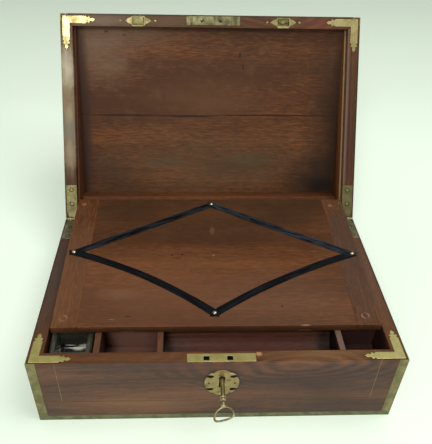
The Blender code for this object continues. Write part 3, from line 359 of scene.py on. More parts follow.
def begin(name):
    """A new node material: the material, its Principled shader, and what adds nodes to it."""
    mat = bpy.data.materials.new(name)
    mat.use_nodes = True
    return mat, mat.node_tree.nodes["Principled BSDF"], partial(add_node, mat.node_tree)


def per(size_mm):
    """Texture scale at which one cell is that many millimetres, on coordinates in metres."""
    return 1000.0 / size_mm


def local_coordinates(add, place):
    """Object coordinates turned back into a place's own axes: the place's turn and origin undone."""
    turn, origin = PLACES[place]
    back = np.array(Matrix.Rotation(-turn, 3, "X"))
    undone = {"Location": tuple(-back @ origin), "Rotation": (-turn, 0, 0)}
    return add("Mapping", {"Vector": add("TexCoord", out="Object"), **undone})


def streaky(add, vector, stretch, size_mm, detail, roughness=0.5, out=0):
    """Streaks along X: noise whose cells are size_mm across and drawn out by 1 / stretch."""
    drawn = add("Mapping", {"Vector": vector, "Scale": (stretch, 1, 1)})
    inputs = {"Vector": drawn, "Scale": per(size_mm), "Detail": detail, "Roughness": roughness}
    return add("TexNoise", inputs, out)


def mark(add, colour, local, centre_mm, radii_mm, tint, strength, ragged, soft=0.45):
    """A blotch: inside an ellipsoid whose edge is roughened by noise, the colour goes towards the tint.

    soft is the share of the radius over which it fades out.
    """
    shift = tuple(-c / r for c, r in zip(centre_mm, radii_mm))
    inside = add("Mapping", {"Vector": local, "Location": shift, "Scale": tuple(map(per, radii_mm))})
    distance = add("VectorMath", (inside,), "Value", operation="LENGTH")
    rough = add("TexNoise", {"Vector": inside, "Scale": 2.2, "Detail": 8.0, "Roughness": 0.62})
    edge = add("Math", (rough, ragged, distance), operation="MULTIPLY_ADD")
    mask = add("MapRange", (edge, 1 + ragged / 2, 1 + ragged / 2 - soft, 0, strength))
    return add("Mix", {0: mask, MIX_A: colour, MIX_B: shade(tint)}, **MIX_COLOURS)


def rub_and_highlight_edges(add, colour, radius, share, tint):
    """Rubbed edges with a painted highlight: the colour goes to the tint where a rounded normal leaves the
    flat one.

    Gives the new colour and the rounded normal.
    """
    rounded = add("Bevel", {"Radius": radius}, samples=4)
    flat = add("NewGeometry", out="Normal")
    facing = add("VectorMath", (rounded, flat), "Value", operation="DOT_PRODUCT")
    rubbed = add("MapRange", (facing, EDGE_LIGHT_START, EDGE_LIGHT_FULL, 0, share))
    return add("Mix", {0: rubbed, MIX_A: colour, MIX_B: tint}, **MIX_COLOURS), rounded


def four_tones(depth, dark, middle, light):
    """A wood's colours from dark to light: the dark one taken down by depth, then all three as they are."""
    return (toned(dark, depth), *map(toned, (dark, middle, light)))


def wood(name, place, turn, seed, tones, figure, marks=(), veneer=()):
    """Sliced timber: long streaks, broad drift, ring arcs and open pores, worn polish, rubbed edges with a
    painted highlight.

    tones are four colours from dark to light. figure gives streak width and sway in mm, the shares of
    streaks (fine), drift, flecks, haze and ring arcs, the arcs' centre in mm, squash and spacing in mm, and
    gloss, the roughness where the polish is whole and where it is worn. marks are blotches in the place's
    own mm. veneer is four more tones for the outside, kept to the outermost millimetre of the closed box.
    """
    mat, shader, add = begin(name)
    local = local_coordinates(add, place)
    offset = (0.29 * seed, 0.13 * seed, 0.07 * seed)
    grain = add("Mapping", {"Vector": local, "Rotation": (0, 0, turn), "Location": offset})
    sway = streaky(add, grain, stretch=0.25, size_mm=38, detail=2.0, out="Color")
    reach = (0, figure["sway"] * MM, figure["sway"] * MM)
    bent = add("VectorMath", (sway, reach, grain), operation="MULTIPLY_ADD")
    streaks = streaky(add, bent, stretch=0.022, size_mm=figure["streak"], detail=6.0, roughness=0.62)
    broad = streaky(add, bent, stretch=0.16, size_mm=50, detail=1.5)
    flecks = streaky(add, bent, stretch=0.15, size_mm=1.8, detail=3.0, roughness=0.6)
    fine, drift, fleck = figure["fine"], figure["drift"], figure["fleck"]
    tone = add("Math", (streaks, fine, 0.5 - 0.5 * fine - 0.5 * drift), operation="MULTIPLY_ADD")
    tone = add("Math", (broad, drift, tone), operation="MULTIPLY_ADD")
    spread = add("MapRange", (flecks, 0, 1, -0.5 * fleck, 0.5 * fleck))
    tone = add("Math", (spread, tone), operation="ADD")
    if "rings" in figure:
        squash, arcs_reach = figure["squash"], 70 * MM
        swayed = add("VectorMath", (sway, reach, local), operation="MULTIPLY_ADD")
        shift = tuple(-c * s * MM for c, s in zip(figure["centre"], squash))
        around = add("Mapping", {"Vector": swayed, "Location": shift, "Scale": squash})
        far = add("VectorMath", (around,), "Value", operation="LENGTH")
        angle = add("Math", (far, tau * per(figure["spacing"])), operation="MULTIPLY")
        arcs = add("Math", (angle,), operation="SINE")
        fade = add("MapRange", (far, 0, arcs_reach, figure["rings"], 0))
        tone = add("Math", (arcs, fade, tone), operation="MULTIPLY_ADD")
    colour = add("ValToRGB", (tone,), stops=list(zip(TONE_STOPS, tones)))
    if veneer:
        outside = add("ValToRGB", (tone,), stops=list(zip(TONE_STOPS, veneer)))
        size = add("VectorMath", (local,), operation="ABSOLUTE")
        x, y, _ = add("SeparateXYZ", (size,), None)
        across = add("Math", (x, -CORE_MM[0] * MM), operation="ADD")
        deep = add("Math", (y, -CORE_MM[1] * MM), operation="ADD")
        outer = add("Math", (across, deep), operation="MAXIMUM")
        over = add("Math", (outer, 0), operation="GREATER_THAN")
        colour = add("Mix", {0: over, MIX_A: colour, MIX_B: outside}, **MIX_COLOURS)
    # Real pores are about 0.2 mm wide and would not show, so they are drawn 0.7 mm wide.
    open_grain = streaky(add, grain, stretch=0.08, size_mm=0.7, detail=1.0)
    pores = add("MapRange", (open_grain, 0.58, 0.72, 0, 0.6))
    colour = add("Mix", {0: pores, MIX_A: colour, MIX_B: toned(tones[0], 0.6)}, **MIX_COLOURS)
    worn = add("TexNoise", {"Vector": local, "Scale": per(26), "Detail": 7.0, "Roughness": 0.66})
    haze = add("MapRange", (worn, 0.5, 0.75, 0, figure["haze"]))
    colour = add("Mix", {0: haze, MIX_A: colour, MIX_B: shade("#7a6146")}, **MIX_COLOURS)
    for spot in marks:
        colour = mark(add, colour, local, *spot)
    # Lighter edges: rubbing wear and a painted highlight
    colour, edge = rub_and_highlight_edges(add, colour, 0.6 * MM, 0.4, toned(tones[3], 1.3))
    height = add("Math", (pores, -0.8, streaks), operation="MULTIPLY_ADD")
    feed(shader, {
        "Base Color": colour,
        "Roughness": add("MapRange", (worn, 0.3, 0.7, *figure["gloss"])),
        "Normal": add("Bump", {"Strength": 0.35, "Distance": 0.12 * MM, "Height": height, "Normal": edge}),
        "Specular IOR Level": 0.22,
    })
    return mat


def brass_tone(tone, whole):
    """A hex code's colour, a colour as it is, or a share of the whole colour."""
    if isinstance(tone, str):
        return shade(tone)
    return tone if isinstance(tone, tuple) else toned(whole, tone)


def brass(name, seed, bright, tarnish, stain, stained, gloss, stretch=(1, 1, 1)):
    """Cast and filed brass, long unpolished: cloudy tarnish, stains in patches, rubbed edges with a painted
    highlight, fine scratches.

    bright and tarnish are hex codes, colours, or numbers, which are shares of the user's two brass colours.
    stretch scales the stains' coordinates: below 1 it draws them out that way.
    """
    mat, shader, add = begin(name)
    colours = bpy.context.scene.writing_box_colours
    bright, tarnish = brass_tone(bright, colours.brass), brass_tone(tarnish, colours.brass_dark)
    offset = (seed, 0.7 * seed, 0.4 * seed)
    moved = add("Mapping", {"Vector": add("TexCoord", out="Object"), "Location": offset})
    cloud = add("TexNoise", {"Vector": moved, "Scale": per(11), "Detail": 7.0, "Roughness": 0.62})
    dulled = add("MapRange", (cloud, 0.36, 0.66))
    colour = add("Mix", {0: dulled, MIX_A: bright, MIX_B: tarnish}, **MIX_COLOURS)
    pulled = add("Mapping", {"Vector": moved, "Scale": stretch})
    patches = add("TexNoise", {"Vector": pulled, "Scale": per(5), "Detail": 5.0, "Roughness": 0.7})
    patch = add("MapRange", (patches, 0.62 - 0.2 * stained, 0.78 - 0.2 * stained, 0, 0.8))
    colour = add("Mix", {0: patch, MIX_A: colour, MIX_B: shade(stain)}, **MIX_COLOURS)
    # Lighter edges: rubbing wear and a painted highlight
    colour, rounded = rub_and_highlight_edges(add, colour, 0.7 * MM, 0.7, toned(bright, 1.25))
    # Filing scratches are a few hundredths of a millimetre wide; 0.5 mm is the finest that shows.
    scratches = streaky(add, moved, stretch=0.06, size_mm=0.5, detail=2.0)
    rough = add("Math", (scratches, 0.25, dulled), operation="MULTIPLY_ADD")
    height = add("Math", (scratches, 0.35, patches), operation="MULTIPLY_ADD")
    feed(shader, {
        "Base Color": colour,
        "Metallic": 1.0,
        "Roughness": add("MapRange", (rough, 0, 1.2, *gloss)),
        "Normal": add("Bump", {"Strength": 0.3, "Distance": 0.1 * MM, "Height": height, "Normal": rounded}),
    })
    return mat


def one_pattern(name, kind, inputs, stops, bump, constants, **settings):
    """A surface whose colour and bumps follow one pattern: stops are hex codes, bump is strength and mm."""
    mat, shader, add = begin(name)
    pattern = add(kind, {"Vector": add("TexCoord", out="Object"), **inputs}, **settings)
    stops = [(position, shade(code)) for position, code in stops]
    feed(shader, {
        "Base Color": add("ValToRGB", (pattern,), stops=stops),
        "Normal": add("Bump", {"Strength": bump[0], "Distance": bump[1] * MM, "Height": pattern}),
        **constants,
    })
    return mat


def iron():
    """Rolled iron sheet of the lock: dark, mottled with rust, half matt."""
    rust, stops = {"Scale": per(4), "Detail": 6.0}, ((0.4, "#4a4744"), (0.6, "#5d4a3c"))
    constants = {"Metallic": 0.85, "Roughness": 0.55}
    return one_pattern("iron_sheet", "TexNoise", rust, stops, (0.4, 0.1), constants)


def leather():
    """Old bookbinder's leather under the flap: brown, cracked in small plates, matt."""
    plates, stops = {"Scale": per(1.6)}, ((0.0, "#2c1a12"), (0.2, "#55331f"))
    constants = {"Roughness": 0.68}
    edges = {"feature": "DISTANCE_TO_EDGE"}
    return one_pattern("worn_sheepskin", "TexVoronoi", plates, stops, (0.6, 0.2), constants, **edges)


def end_grain(name, light, dark, sheen=0.5):
    """End grain of a wooden plug, and the dark fill of dirt and painted shade: small dark pores on a paler
    ground.
    """
    pores, stops = {"Scale": per(1.4), "Detail": 3.0}, ((0.35, dark), (0.6, light))
    constants = {"Roughness": 0.55, "Specular IOR Level": sheen}
    return one_pattern(name, "TexNoise", pores, stops, (0.3, 0.1), constants)


def pressed_glass(tint):
    """Moulded soda glass, faintly green: soft ripples from the mould, and a film of dust that dulls it."""
    mat, shader, add = begin("pressed_soda_glass")
    spot = add("TexCoord", out="Object")
    ripple = add("TexNoise", {"Vector": spot, "Scale": per(14), "Detail": 1.0})
    film = add("TexNoise", {"Vector": spot, "Scale": per(9), "Detail": 5.0})
    feed(shader, {
        "Base Color": toned(tint),
        "Roughness": add("MapRange", (film, 0.45, 0.7, 0.03, 0.2)),
        "Normal": add("Bump", {"Strength": 0.25, "Distance": 0.5 * MM, "Height": ripple}),
        "Transmission Weight": 0.9,
        "IOR": 1.51,
    })
    return mat


def dried_ink():
    """Ink dried in the well: glossy brown-black flakes, with pale painted glints on them."""
    mat, shader, add = begin("dried_iron_gall_ink")
    inputs = {"Vector": add("TexCoord", out="Object"), "Scale": per(3)}
    flakes = add("TexVoronoi", inputs, feature="DISTANCE_TO_EDGE")
    colour = add("ValToRGB", (flakes,), stops=[(0.02, shade("#4a463f")), (0.12, shade("#221f1c"))])
    local = local_coordinates(add, "base")
    # Pale patches: painted glints
    for spot in INK_GLINTS:
        colour = mark(add, colour, local, *spot)
    bumps = add("Bump", {"Strength": 0.6, "Distance": 0.2 * MM, "Height": flakes})
    feed(shader, {"Base Color": colour, "Normal": bumps, "Roughness": 0.22})
    return mat


def ribbon_cloth(tint):
    """Ribbed silk ribbon, black with little gloss: fine ribs across it, and a painted blue-grey sheen in
    patches.

    Reads the piece's own attribute: metres along the ribbon, metres across it, and how much painted sheen a
    run has.
    """
    mat, shader, add = begin("ribbed_silk_ribbon")
    woven = add("Attribute", out="Vector", attribute_name="weave")
    along, _, painted_sheen = add("SeparateXYZ", (woven,), None)
    # A rib is about 0.4 mm; it is drawn 1.1 mm wide so that it shows.
    angle = add("Math", (along, tau * per(1.1)), operation="MULTIPLY")
    ribs = add("Math", (angle,), operation="SINE")
    fluff_and_sheen = streaky(add, woven, stretch=0.12, size_mm=3, detail=6.0)
    # The blue-grey is a painted sheen, laid in patches by the noise and weighted by each run's share
    worn = add("ValToRGB", (fluff_and_sheen,), stops=[(0.38, toned(tint)), (0.75, shade("#4a5662"))])
    height = add("Math", (fluff_and_sheen, 1.5, ribs), operation="MULTIPLY_ADD")
    feed(shader, {
        "Base Color": add("Mix", {0: painted_sheen, MIX_A: toned(tint), MIX_B: worn}, **MIX_COLOURS),
        "Roughness": add("MapRange", (fluff_and_sheen, 0.3, 0.7, 0.42, 0.62)),
        "Normal": add("Bump", {"Strength": 0.5, "Distance": 0.1 * MM, "Height": height}),
        "Specular IOR Level": 0.06,
    })
    return mat


def assign(mat, *names):
    """Gives CAD nodes a finish."""
    for name in names:
        node = frame["nodes"][name]
        if not node.material_slots:
            node.data.materials.append(mat)
        for slot in node.material_slots:
            slot.material = mat


def skin(points, place="base", spot_mm=(0, 0, 0), ring=False):
    """A closed skin over a grid of points, moved by a spot, put in a place and turned right side out.

    Quads join neighbouring rows and columns. Columns wrap; rows wrap too on a ring, else caps close the ends.
    Its volume is the sum over quads of middle . (diagonal x diagonal) / 6; a negative one is inside out.
    """
    rows, columns = points.shape[:2]
    turn, origin = PLACES[place]
    moved = points.reshape(-1, 3) + np.array(spot_mm) * MM
    flat = moved @ np.array(Matrix.Rotation(turn, 3, "X")).T + origin
    index = np.arange(rows * columns).reshape(rows, columns)
    beside = np.roll(index, -1, axis=1)
    above, beside_above = np.roll(index, -1, axis=0), np.roll(beside, -1, axis=0)
    quads = np.stack((index, beside, beside_above, above), axis=-1)
    quads = (quads if ring else quads[:-1]).reshape(-1, 4)
    caps = [] if ring else [index[0, ::-1], index[-1]]
    corners = flat[quads]
    cross = np.cross(corners[:, 2] - corners[:, 0], corners[:, 3] - corners[:, 1])
    if ((corners.mean(axis=1) - flat.mean(axis=0)) * cross).sum() < 0:
        quads, caps = quads[:, ::-1], [cap[::-1] for cap in caps]
    return flat, quads, caps


def put(name, data):
    """A new object at the origin, linked into the scene."""
    made = bpy.data.objects.new(name, data)
    bpy.context.scene.collection.objects.link(made)
    return made


def piece(name, skins, mat, body, weave=None):
    """One mesh object from several closed skins; it rides on a body and takes the given finish."""
    if not skins:
        raise RuntimeError(f"{name} has no surface")
    faces, start = [], 0
    for points, quads, caps in skins:
        faces += (quads + start).tolist() + [(cap + start).tolist() for cap in caps]
        start += len(points)
    mesh = bpy.data.meshes.new(name)
    mesh.from_pydata(np.concatenate([points for points, _, _ in skins]).tolist(), [], faces)
    if weave is not None:
        layer = mesh.attributes.new("weave", "FLOAT_VECTOR", "POINT")
        layer.data.foreach_set("vector", weave.astype(np.float32).ravel())
    mesh.polygons.foreach_set("use_smooth", np.ones(len(faces), bool))
    mesh.set_sharp_from_angle(angle=SHARP_ANGLE)
    mesh.materials.append(mat)
    if mesh.validate():
        raise RuntimeError(f"{name} has broken faces")
    made = put(name, mesh)
    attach(made, body)
    return made


def steps_round(count):
    """Angles of even steps round a circle."""
    return np.linspace(0, tau, count, endpoint=False)


def signed_power(values, power):
    """Sizes raised to a power with their signs kept: below 1 it makes a circle's sine and cosine squarer."""
    return np.sign(values) * np.abs(values) ** power


def turned(radii, heights, sides=40):
    """A turned form: each (radius, height) of the profile goes round the Z axis as a circle."""
    angle = steps_round(sides)
    radii, heights = np.reshape(radii, (-1, 1)), np.reshape(heights, (-1, 1))
    return np.stack(np.broadcast_arrays(radii * np.cos(angle), radii * np.sin(angle), heights), axis=-1)


def swept(path, across, up, section):
    """A section carried along a path: each point is path + u * across + v * up for the section's (u, v)."""
    across, up = (np.reshape(axis, (-1, 1, 3)) for axis in (across, up))
    return path[:, None] + section[..., :1] * across + section[..., 1:] * up


def rounded_square(half_x, half_y, corner, steps=7):
    """A square with round corners, anticlockwise: quarter circles about four inset centres."""
    angle = np.linspace(0, pi / 2, steps)
    quarter = np.stack((np.cos(angle), np.sin(angle)), axis=-1) * corner
    turns = [np.array(Matrix.Rotation(pi / 2 * n, 2)) for n in range(4)]
    signs = np.array(((1, 1), (-1, 1), (-1, -1), (1, -1)))
    centre = np.array((half_x - corner, half_y - corner))
    return np.concatenate([quarter @ t.T + centre * s for t, s in zip(turns, signs)])


def stepped_square(rows, half_x, half_y, corner, ease=0.0, least=0.0):
    """(inset, height) pairs carried round a rounded square, in mm; its corner is corner - ease * inset."""
    rings = []
    for inset, height in rows:
        ring = rounded_square(half_x - inset, half_y - inset, max(corner - ease * inset, least))
        rings.append(np.column_stack((ring, np.full(len(ring), height))))
    return np.stack(rings) * MM


def dome_head(radius, rise=0.13, depth=0.3, slot=0.0, slot_width=0.0, slot_turn=0.0):
    """A low domed head, sizes in mm: rise * sqrt(1 - (r / radius)^2) high, less a straight slot across it.

    A short neck goes down to the depth.
    """
    share = np.sin(np.linspace(0.01, pi / 2, 12))
    radii = np.concatenate((radius * share, [radius, 0.9 * radius]))
    heights = np.concatenate((rise * np.sqrt(1 - share ** 2), [-0.4 * depth, -depth]))
    points = turned(radii, heights, 48)
    if slot:
        across = -points[..., 0] * sin(slot_turn) + points[..., 1] * cos(slot_turn)
        inside = np.clip((slot_width / 2 - np.abs(across)) / (0.25 * slot_width) + 0.5, 0, 1)
        points[..., 2] -= slot * inside * (points[..., 2] > -0.1 * depth)
    return points * MM


class WRITINGBOX_OT_stage(bpy.types.Operator):
    """Pale floor, soft studio light, and a camera at the photograph's angle"""

    bl_idname = "writing_box.stage"
    bl_label = "Floor, light and camera"

    def execute(self, context):
        context.scene.view_settings.view_transform = "Standard"
        self.make_floor(context.scene.writing_box_colours.floor)
        self.make_world(context.scene)
        self.make_lamps()
        self.make_camera(context.scene)
        return {"FINISHED"}

    def seen(self, add):
        """1 on rays from the camera, and on those that gloss or glass sends on, else 0."""
        paths = add("LightPath", out=None)
        direct = add("Math", (paths["Is Camera Ray"], paths["Is Glossy Ray"]), operation="MAXIMUM")
        return add("Math", (direct, paths["Is Transmission Ray"]), operation="MAXIMUM")

    def make_floor(self, pale):
        """A wide flat grid at z = 0: faintly uneven, greyer far behind, and with a slight glow to the eye."""
        side = np.linspace(-4, 4, 9)
        x, y = np.meshgrid(side, side, indexing="ij")
        points = np.stack((x, y, np.zeros_like(x)), axis=-1).reshape(-1, 3)
        index = np.arange(x.size).reshape(x.shape)
        corners = (index[:-1, :-1], index[1:, :-1], index[1:, 1:], index[:-1, 1:])
        mesh = bpy.data.meshes.new("floor")
        mesh.from_pydata(points.tolist(), [], np.stack(corners, axis=-1).reshape(-1, 4).tolist())
        mat, shader, add = begin("painted_board")
        spot = add("TexCoord", out="Object")
        cloud = add("TexNoise", {"Vector": spot, "Scale": per(400), "Detail": 2.0})
        colour = add("ValToRGB", (cloud,), stops=[(0.3, toned(pale, 0.96)), (0.7, toned(pale, 1.04))])
        far = add("MapRange", (add("SeparateXYZ", (spot,), "Y"), 0.5, 1.0))
        colour = add("Mix", {0: far, MIX_A: colour, MIX_B: toned(pale, 0.78)}, **MIX_COLOURS)
        glow = add("MapRange", (self.seen(add), 0, 1, 0, 0.24))
        feed(shader, {
            "Base Color": colour,
            "Emission Color": colour,
            "Emission Strength": glow,
            "Roughness": 0.8,
        })
        mesh.materials.append(mat)
        floor = put("floor", mesh)

    def make_world(self, scene):
        """Even soft light; the camera, gloss and glass see it a little brighter, as a pale room."""
        world = bpy.data.worlds.new("pale_room")
        world.use_nodes = True
        add = partial(add_node, world.node_tree)
        strength = add("MapRange", (self.seen(add), 0, 1, 0.42, 0.62))
        feed(world.node_tree.nodes["Background"], {"Color": shade("#f1f6f1"), "Strength": strength})
        scene.world = world

    def make_lamps(self):
        """Soft round lamps: one above on the right, a smaller one behind the camera, a wide low fill."""
        for name, place, size, power in LAMPS:
            light = bpy.data.lights.new(name, "AREA")
            light.shape = "DISK"
            light.size = size
            light.energy = power
            lamp = put(name, light)
            lamp.location = place
            lamp.rotation_euler = (LAMP_AIM - lamp.location).to_track_quat("-Z", "Y").to_euler()

    def make_camera(self, scene):
        """The photograph's eye: its place, then yaw, pitch and roll; the focal length is in its pixels."""
        forward = np.array((sin(YAW) * cos(PITCH), cos(YAW) * cos(PITCH), -sin(PITCH)))
        level = np.array((cos(YAW), -sin(YAW), 0))
        upright = np.cross(level, forward)
        right = cos(ROLL) * level + sin(ROLL) * upright
        up = cos(ROLL) * upright - sin(ROLL) * level
        eye = bpy.data.cameras.new("camera")
        eye.sensor_width = SENSOR_MM
        eye.lens = SENSOR_MM * FOCAL_PX / FRAME_PX
        camera = put("camera", eye)
        turn = Matrix(np.stack((right, up, -forward), axis=1).tolist()).to_4x4()
        camera.matrix_world = Matrix.Translation([side * MM for side in EYE_MM]) @ turn
        scene.camera = camera


class WRITINGBOX_OT_woods(bpy.types.Operator):
    """Veneer on the outside, mahogany inside, dark stained trays"""

    bl_idname = "writing_box.woods"
    bl_label = "Woods"

    def execute(self, context):
        colours = context.scene.writing_box_colours
        veneer = four_tones(0.75, colours.veneer_dark, colours.veneer, colours.veneer_light)
        core = four_tones(0.9, colours.mahogany_dark, colours.mahogany, colours.mahogany_light)
        dark = tuple(map(shade, ("#3a2018", "#4a2b1c", "#5a3524", "#6c4230")))
        warm = tuple(map(shade, ("#482b1d", "#563524", "#64402a", "#734d35")))
        outer_gloss, inner_gloss = (0.38, 0.55), (0.45, 0.62)
        front = {"streak": 6.0, "sway": 24, "fine": 0.45, "drift": 0.75, "fleck": 0.3, "haze": 0.1}
        front |= {"rings": 0.13, "centre": (85, -135, 116), "squash": (0.36, 1, 1), "spacing": 6.5}
        front |= {"gloss": outer_gloss}
        top = dict(front, centre=(40, 30, 128), squash=(0.16, 1, 1))
        plain = {"streak": 3.5, "sway": 7, "fine": 0.3, "drift": 0.6, "fleck": 0.4, "haze": 0.1}
        plain |= {"gloss": inner_gloss}
        side = dict(plain, gloss=outer_gloss)
        calm = dict(plain, fine=0.2, drift=0.5, fleck=0.5)
        mottled = dict(plain, haze=0.25, fleck=0.6)
        cross = pi / 2
        for part, seed in (("base", 1), ("lid", 4)):
            long_marks, short_marks = WALL_MARKS[part]
            along = wood(f"{part}_rosewood_long", part, 0, seed, core, front, long_marks, veneer)
            assign(along, f"{part}_front_wall", f"{part}_back_wall")
            across = wood(f"{part}_rosewood_short", part, cross, 7, core, side, short_marks, veneer)
            assign(across, f"{part}_left_wall", f"{part}_right_wall")
        # Name, place, turn of the grain, seed, tones, figure, marks and the nodes that it goes on
        woods = (
            ("lid_rosewood_top", "lid", 0, 11, veneer, top, (), "lid_top_veneer"),
            ("lid_mahogany_boards", "lid", 0, 3, core, mottled, LID_MARKS, "lid_front_board lid_back_board"),
            ("lid_mahogany_back_lining", "lid", 0, 5, core, plain, (), "lid_back_lining"),
            ("lid_mahogany_linings", "lid_rim", cross, 8, core, plain, LINING_MARKS,
             "lid_left_lining lid_right_lining"),
            ("flap_mahogany", "flap", 0, 2, core, calm, FLAP_MARKS, "flap_panel"),
            ("flap_mahogany_clamps", "flap", cross, 6, core, mottled, CLAMP_MARKS,
             "flap_clamp_left flap_clamp_right"),
            ("stained_mahogany_trays", "base", 0, 9, dark, plain, TRAY_MARKS,
             "tray_partition tray_floor pen_tray"),
            ("stained_mahogany_dividers", "rim", cross, 10, warm, plain, DIVIDER_MARKS,
             "tray_divider_left tray_divider_middle tray_divider_right"),
            ("mahogany_bottom", "base", 0, 12, core, plain, (), "base_bottom"),
        )
        for *finish, nodes in woods:
            assign(wood(*finish), *nodes.split())
        assign(leather(), "flap_hinge_strip")
        return {"FINISHED"}


class WRITINGBOX_OT_brasswork(bpy.types.Operator):
    """Old brass on plates, straps, bands and hinges; iron in the lock"""

    bl_idname = "writing_box.brasswork"
    bl_label = "Brasswork"

    def execute(self, context):
        slide = toned(context.scene.writing_box_colours.brass_dark, 0.5)
        green, brown = "#566049", "#6a5c3c"
        corners = ("front_left", "front_right", "back_left", "back_right")
        straps = " ".join(f"{part}_{corner}_strap" for part in ("base", "lid") for corner in corners)
        # Name, seed, bright, tarnish, stain, how stained, roughness from bright to dull, and the nodes
        finishes = (
            ("rubbed_brass_rim_plates", 1, "#cdbf7c", "#b5a663", brown, 0.1, (0.3, 0.46),
             "base_corner_plate_left lock_plate"),
            ("bright_brass_rim_plate", 18, "#dfd38f", "#c8bb78", brown, 0.1, (0.3, 0.46),
             "base_corner_plate_right"),
            ("rubbed_brass_lid_plate_left", 1, 0.92, 0.92, brown, 0.1, (0.26, 0.46), "lid_corner_plate_left"),
            ("rubbed_brass_lid_plate_right", 1, 1.0, 1.0, brown, 0.1, (0.26, 0.46), "lid_corner_plate_right"),
            ("dull_brass_catches", 15, 0.6, 0.65, brown, 0.3, (0.42, 0.62), "catch_plate_right"),
            ("handled_brass_catch", 19, 0.56, 0.62, brown, 0.3, (0.4, 0.6), "catch_plate_left catch_left"),
            ("dark_brass_slide", 16, slide, 0.3, brown, 0.3, (0.42, 0.62), "catch_right"),
            ("handled_brass_escutcheon", 10, "#ae976a", "#786540", "#4d4028", 0.25, (0.3, 0.5), "escutcheon"),
            # One worn brass on both lid hinges, painted lighter on the left one and darker on the right one
            # as the light falls
            ("worn_brass_hinge_left", 3, 0.53, 0.4611, green, 0.35, (0.34, 0.55), "lid_hinge_left"),
            ("worn_brass_hinge_right", 20, 0.42, 0.3654, green, 0.35, (0.34, 0.55), "lid_hinge_right"),
            ("dull_brass_hinges", 11, "#938d6e", "#6f6b54", brown, 0.4, (0.4, 0.6),
             "base_hinge_left base_hinge_right"),
            ("tarnished_brass_bands", 2, "#807c5c", "#626149", "#5a624c", 0.5, (0.38, 0.58),
             "base_edge_band lid_edge_band"),
            ("tarnished_brass_straps", 12, "#8c815c", "#6d6645", brown, 0.4, (0.36, 0.55), straps),
        )
        for *finish, nodes in finishes:
            assign(brass(*finish), *nodes.split())
        streaky_stains = (1, 0.12, 0.12)
        link = brass("verdigris_brass", 4, "#75704f", "#56523a", "#343828", 0.7, (0.3, 0.6), streaky_stains)
        assign(link, "lock_link_plate")
        assign(iron(), "lock_case", "lock_bolt")
        return {"FINISHED"}


class WRITINGBOX_OT_ribbon(bpy.types.Operator):
    """Black ribbon in four runs between the flap's studs"""

    bl_idname = "writing_box.ribbon"
    bl_label = "Ribbon"

    def execute(self, context):
        sizes = context.scene.writing_box_sizes
        # Each run's inward bow in metres, and its share of painted sheen: most on the back runs, where the
        # light catches
        bows_and_sheen = ((0.5 * MM, 0.35), (10 * MM, 0.1), (7 * MM, 0.14), (1.5 * MM, 0.7))
        runs = [self.run_of_ribbon(sizes, n, *values) for n, values in enumerate(bows_and_sheen)]
        grids, weaves, lengths = zip(*runs)
        skins = [skin(grid, "flap") for grid in grids]
        weave = np.concatenate([weave.reshape(-1, 3) for weave in weaves])
        cloth = ribbon_cloth(context.scene.writing_box_colours.ribbon)
        ribbon = piece("ribbon", skins, cloth, "flap", weave)
        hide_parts("flap_ribbon")
        return {"FINISHED"}

    def run_of_ribbon(self, sizes, n, bow, painted_sheen):
        """One run: a flat rounded section along a line from stud to stud that bows inwards by 4 t (1 - t).

        near is the way to the closer end. The run narrows towards it, every second run lies on its neighbour
        there, and between the ends it lifts and tilts a little in waves.
        """
        pinch, pinch_reach = 0.42, 11 * MM
        tip_least, tip_reach = 0.12, 3.5 * MM
        lift_least, lift_more, lift_wave, lift_reach = 0.06 * MM, 0.22 * MM, 17 * MM, 20 * MM
        overlap, overlap_reach = 0.5 * MM, 14 * MM
        tilt_most, tilt_wave = 0.2 * MM, 29 * MM
        start, end = STUDS[n], STUDS[(n + 1) % 4]
        side = end - start
        length = np.hypot(*side)
        over = sizes.ribbon_tail / length
        t = np.linspace(-over, 1 + over, 90)
        inward = np.array((-side[1], side[0])) / length
        middle = start + side * t[:, None] + inward * (bow * 4 * t * (1 - t))[:, None]
        path = np.column_stack((middle, np.zeros_like(t)))
        along = np.gradient(path, axis=0)
        along /= np.linalg.norm(along, axis=1)[:, None]
        near = np.minimum(t + over, 1 + over - t) * length
        narrow = 1 - pinch * np.clip(1 - near / pinch_reach, 0, 1) ** 1.5
        narrow = narrow * np.clip(near / tip_reach, tip_least, 1) ** 0.8
        turn = steps_round(20)
        flat, thick = signed_power(np.cos(turn), 0.4), signed_power(np.sin(turn), 0.6)
        u = narrow[:, None] * flat * sizes.ribbon_width / 2
        lift = lift_least + lift_more * (1 + np.sin(t * length / lift_wave + 2 * n))
        doubled = overlap * (n % 2) * np.clip(1.6 - near / overlap_reach, 0, 1)
        tilt = tilt_most * np.sin(t * length / tilt_wave + n)
        lift = lift * np.clip(near / lift_reach - 0.4, 0.1, 1) + doubled
        v = sizes.ribbon_thickness / 2 * (1 + thick) + FLAP_TOP_MM * MM + lift[:, None]
        v = v + np.abs(tilt)[:, None] + tilt[:, None] * flat
        points = swept(path, np.cross((0, 0, 1), along), (0, 0, 1), np.stack((u, v), axis=-1))
        run = np.broadcast_to((t * length)[:, None] + n, u.shape)
        weave = np.stack((run, u, np.full_like(u, painted_sheen)), axis=-1)
        return points, weave, length * (1 + 2 * over)


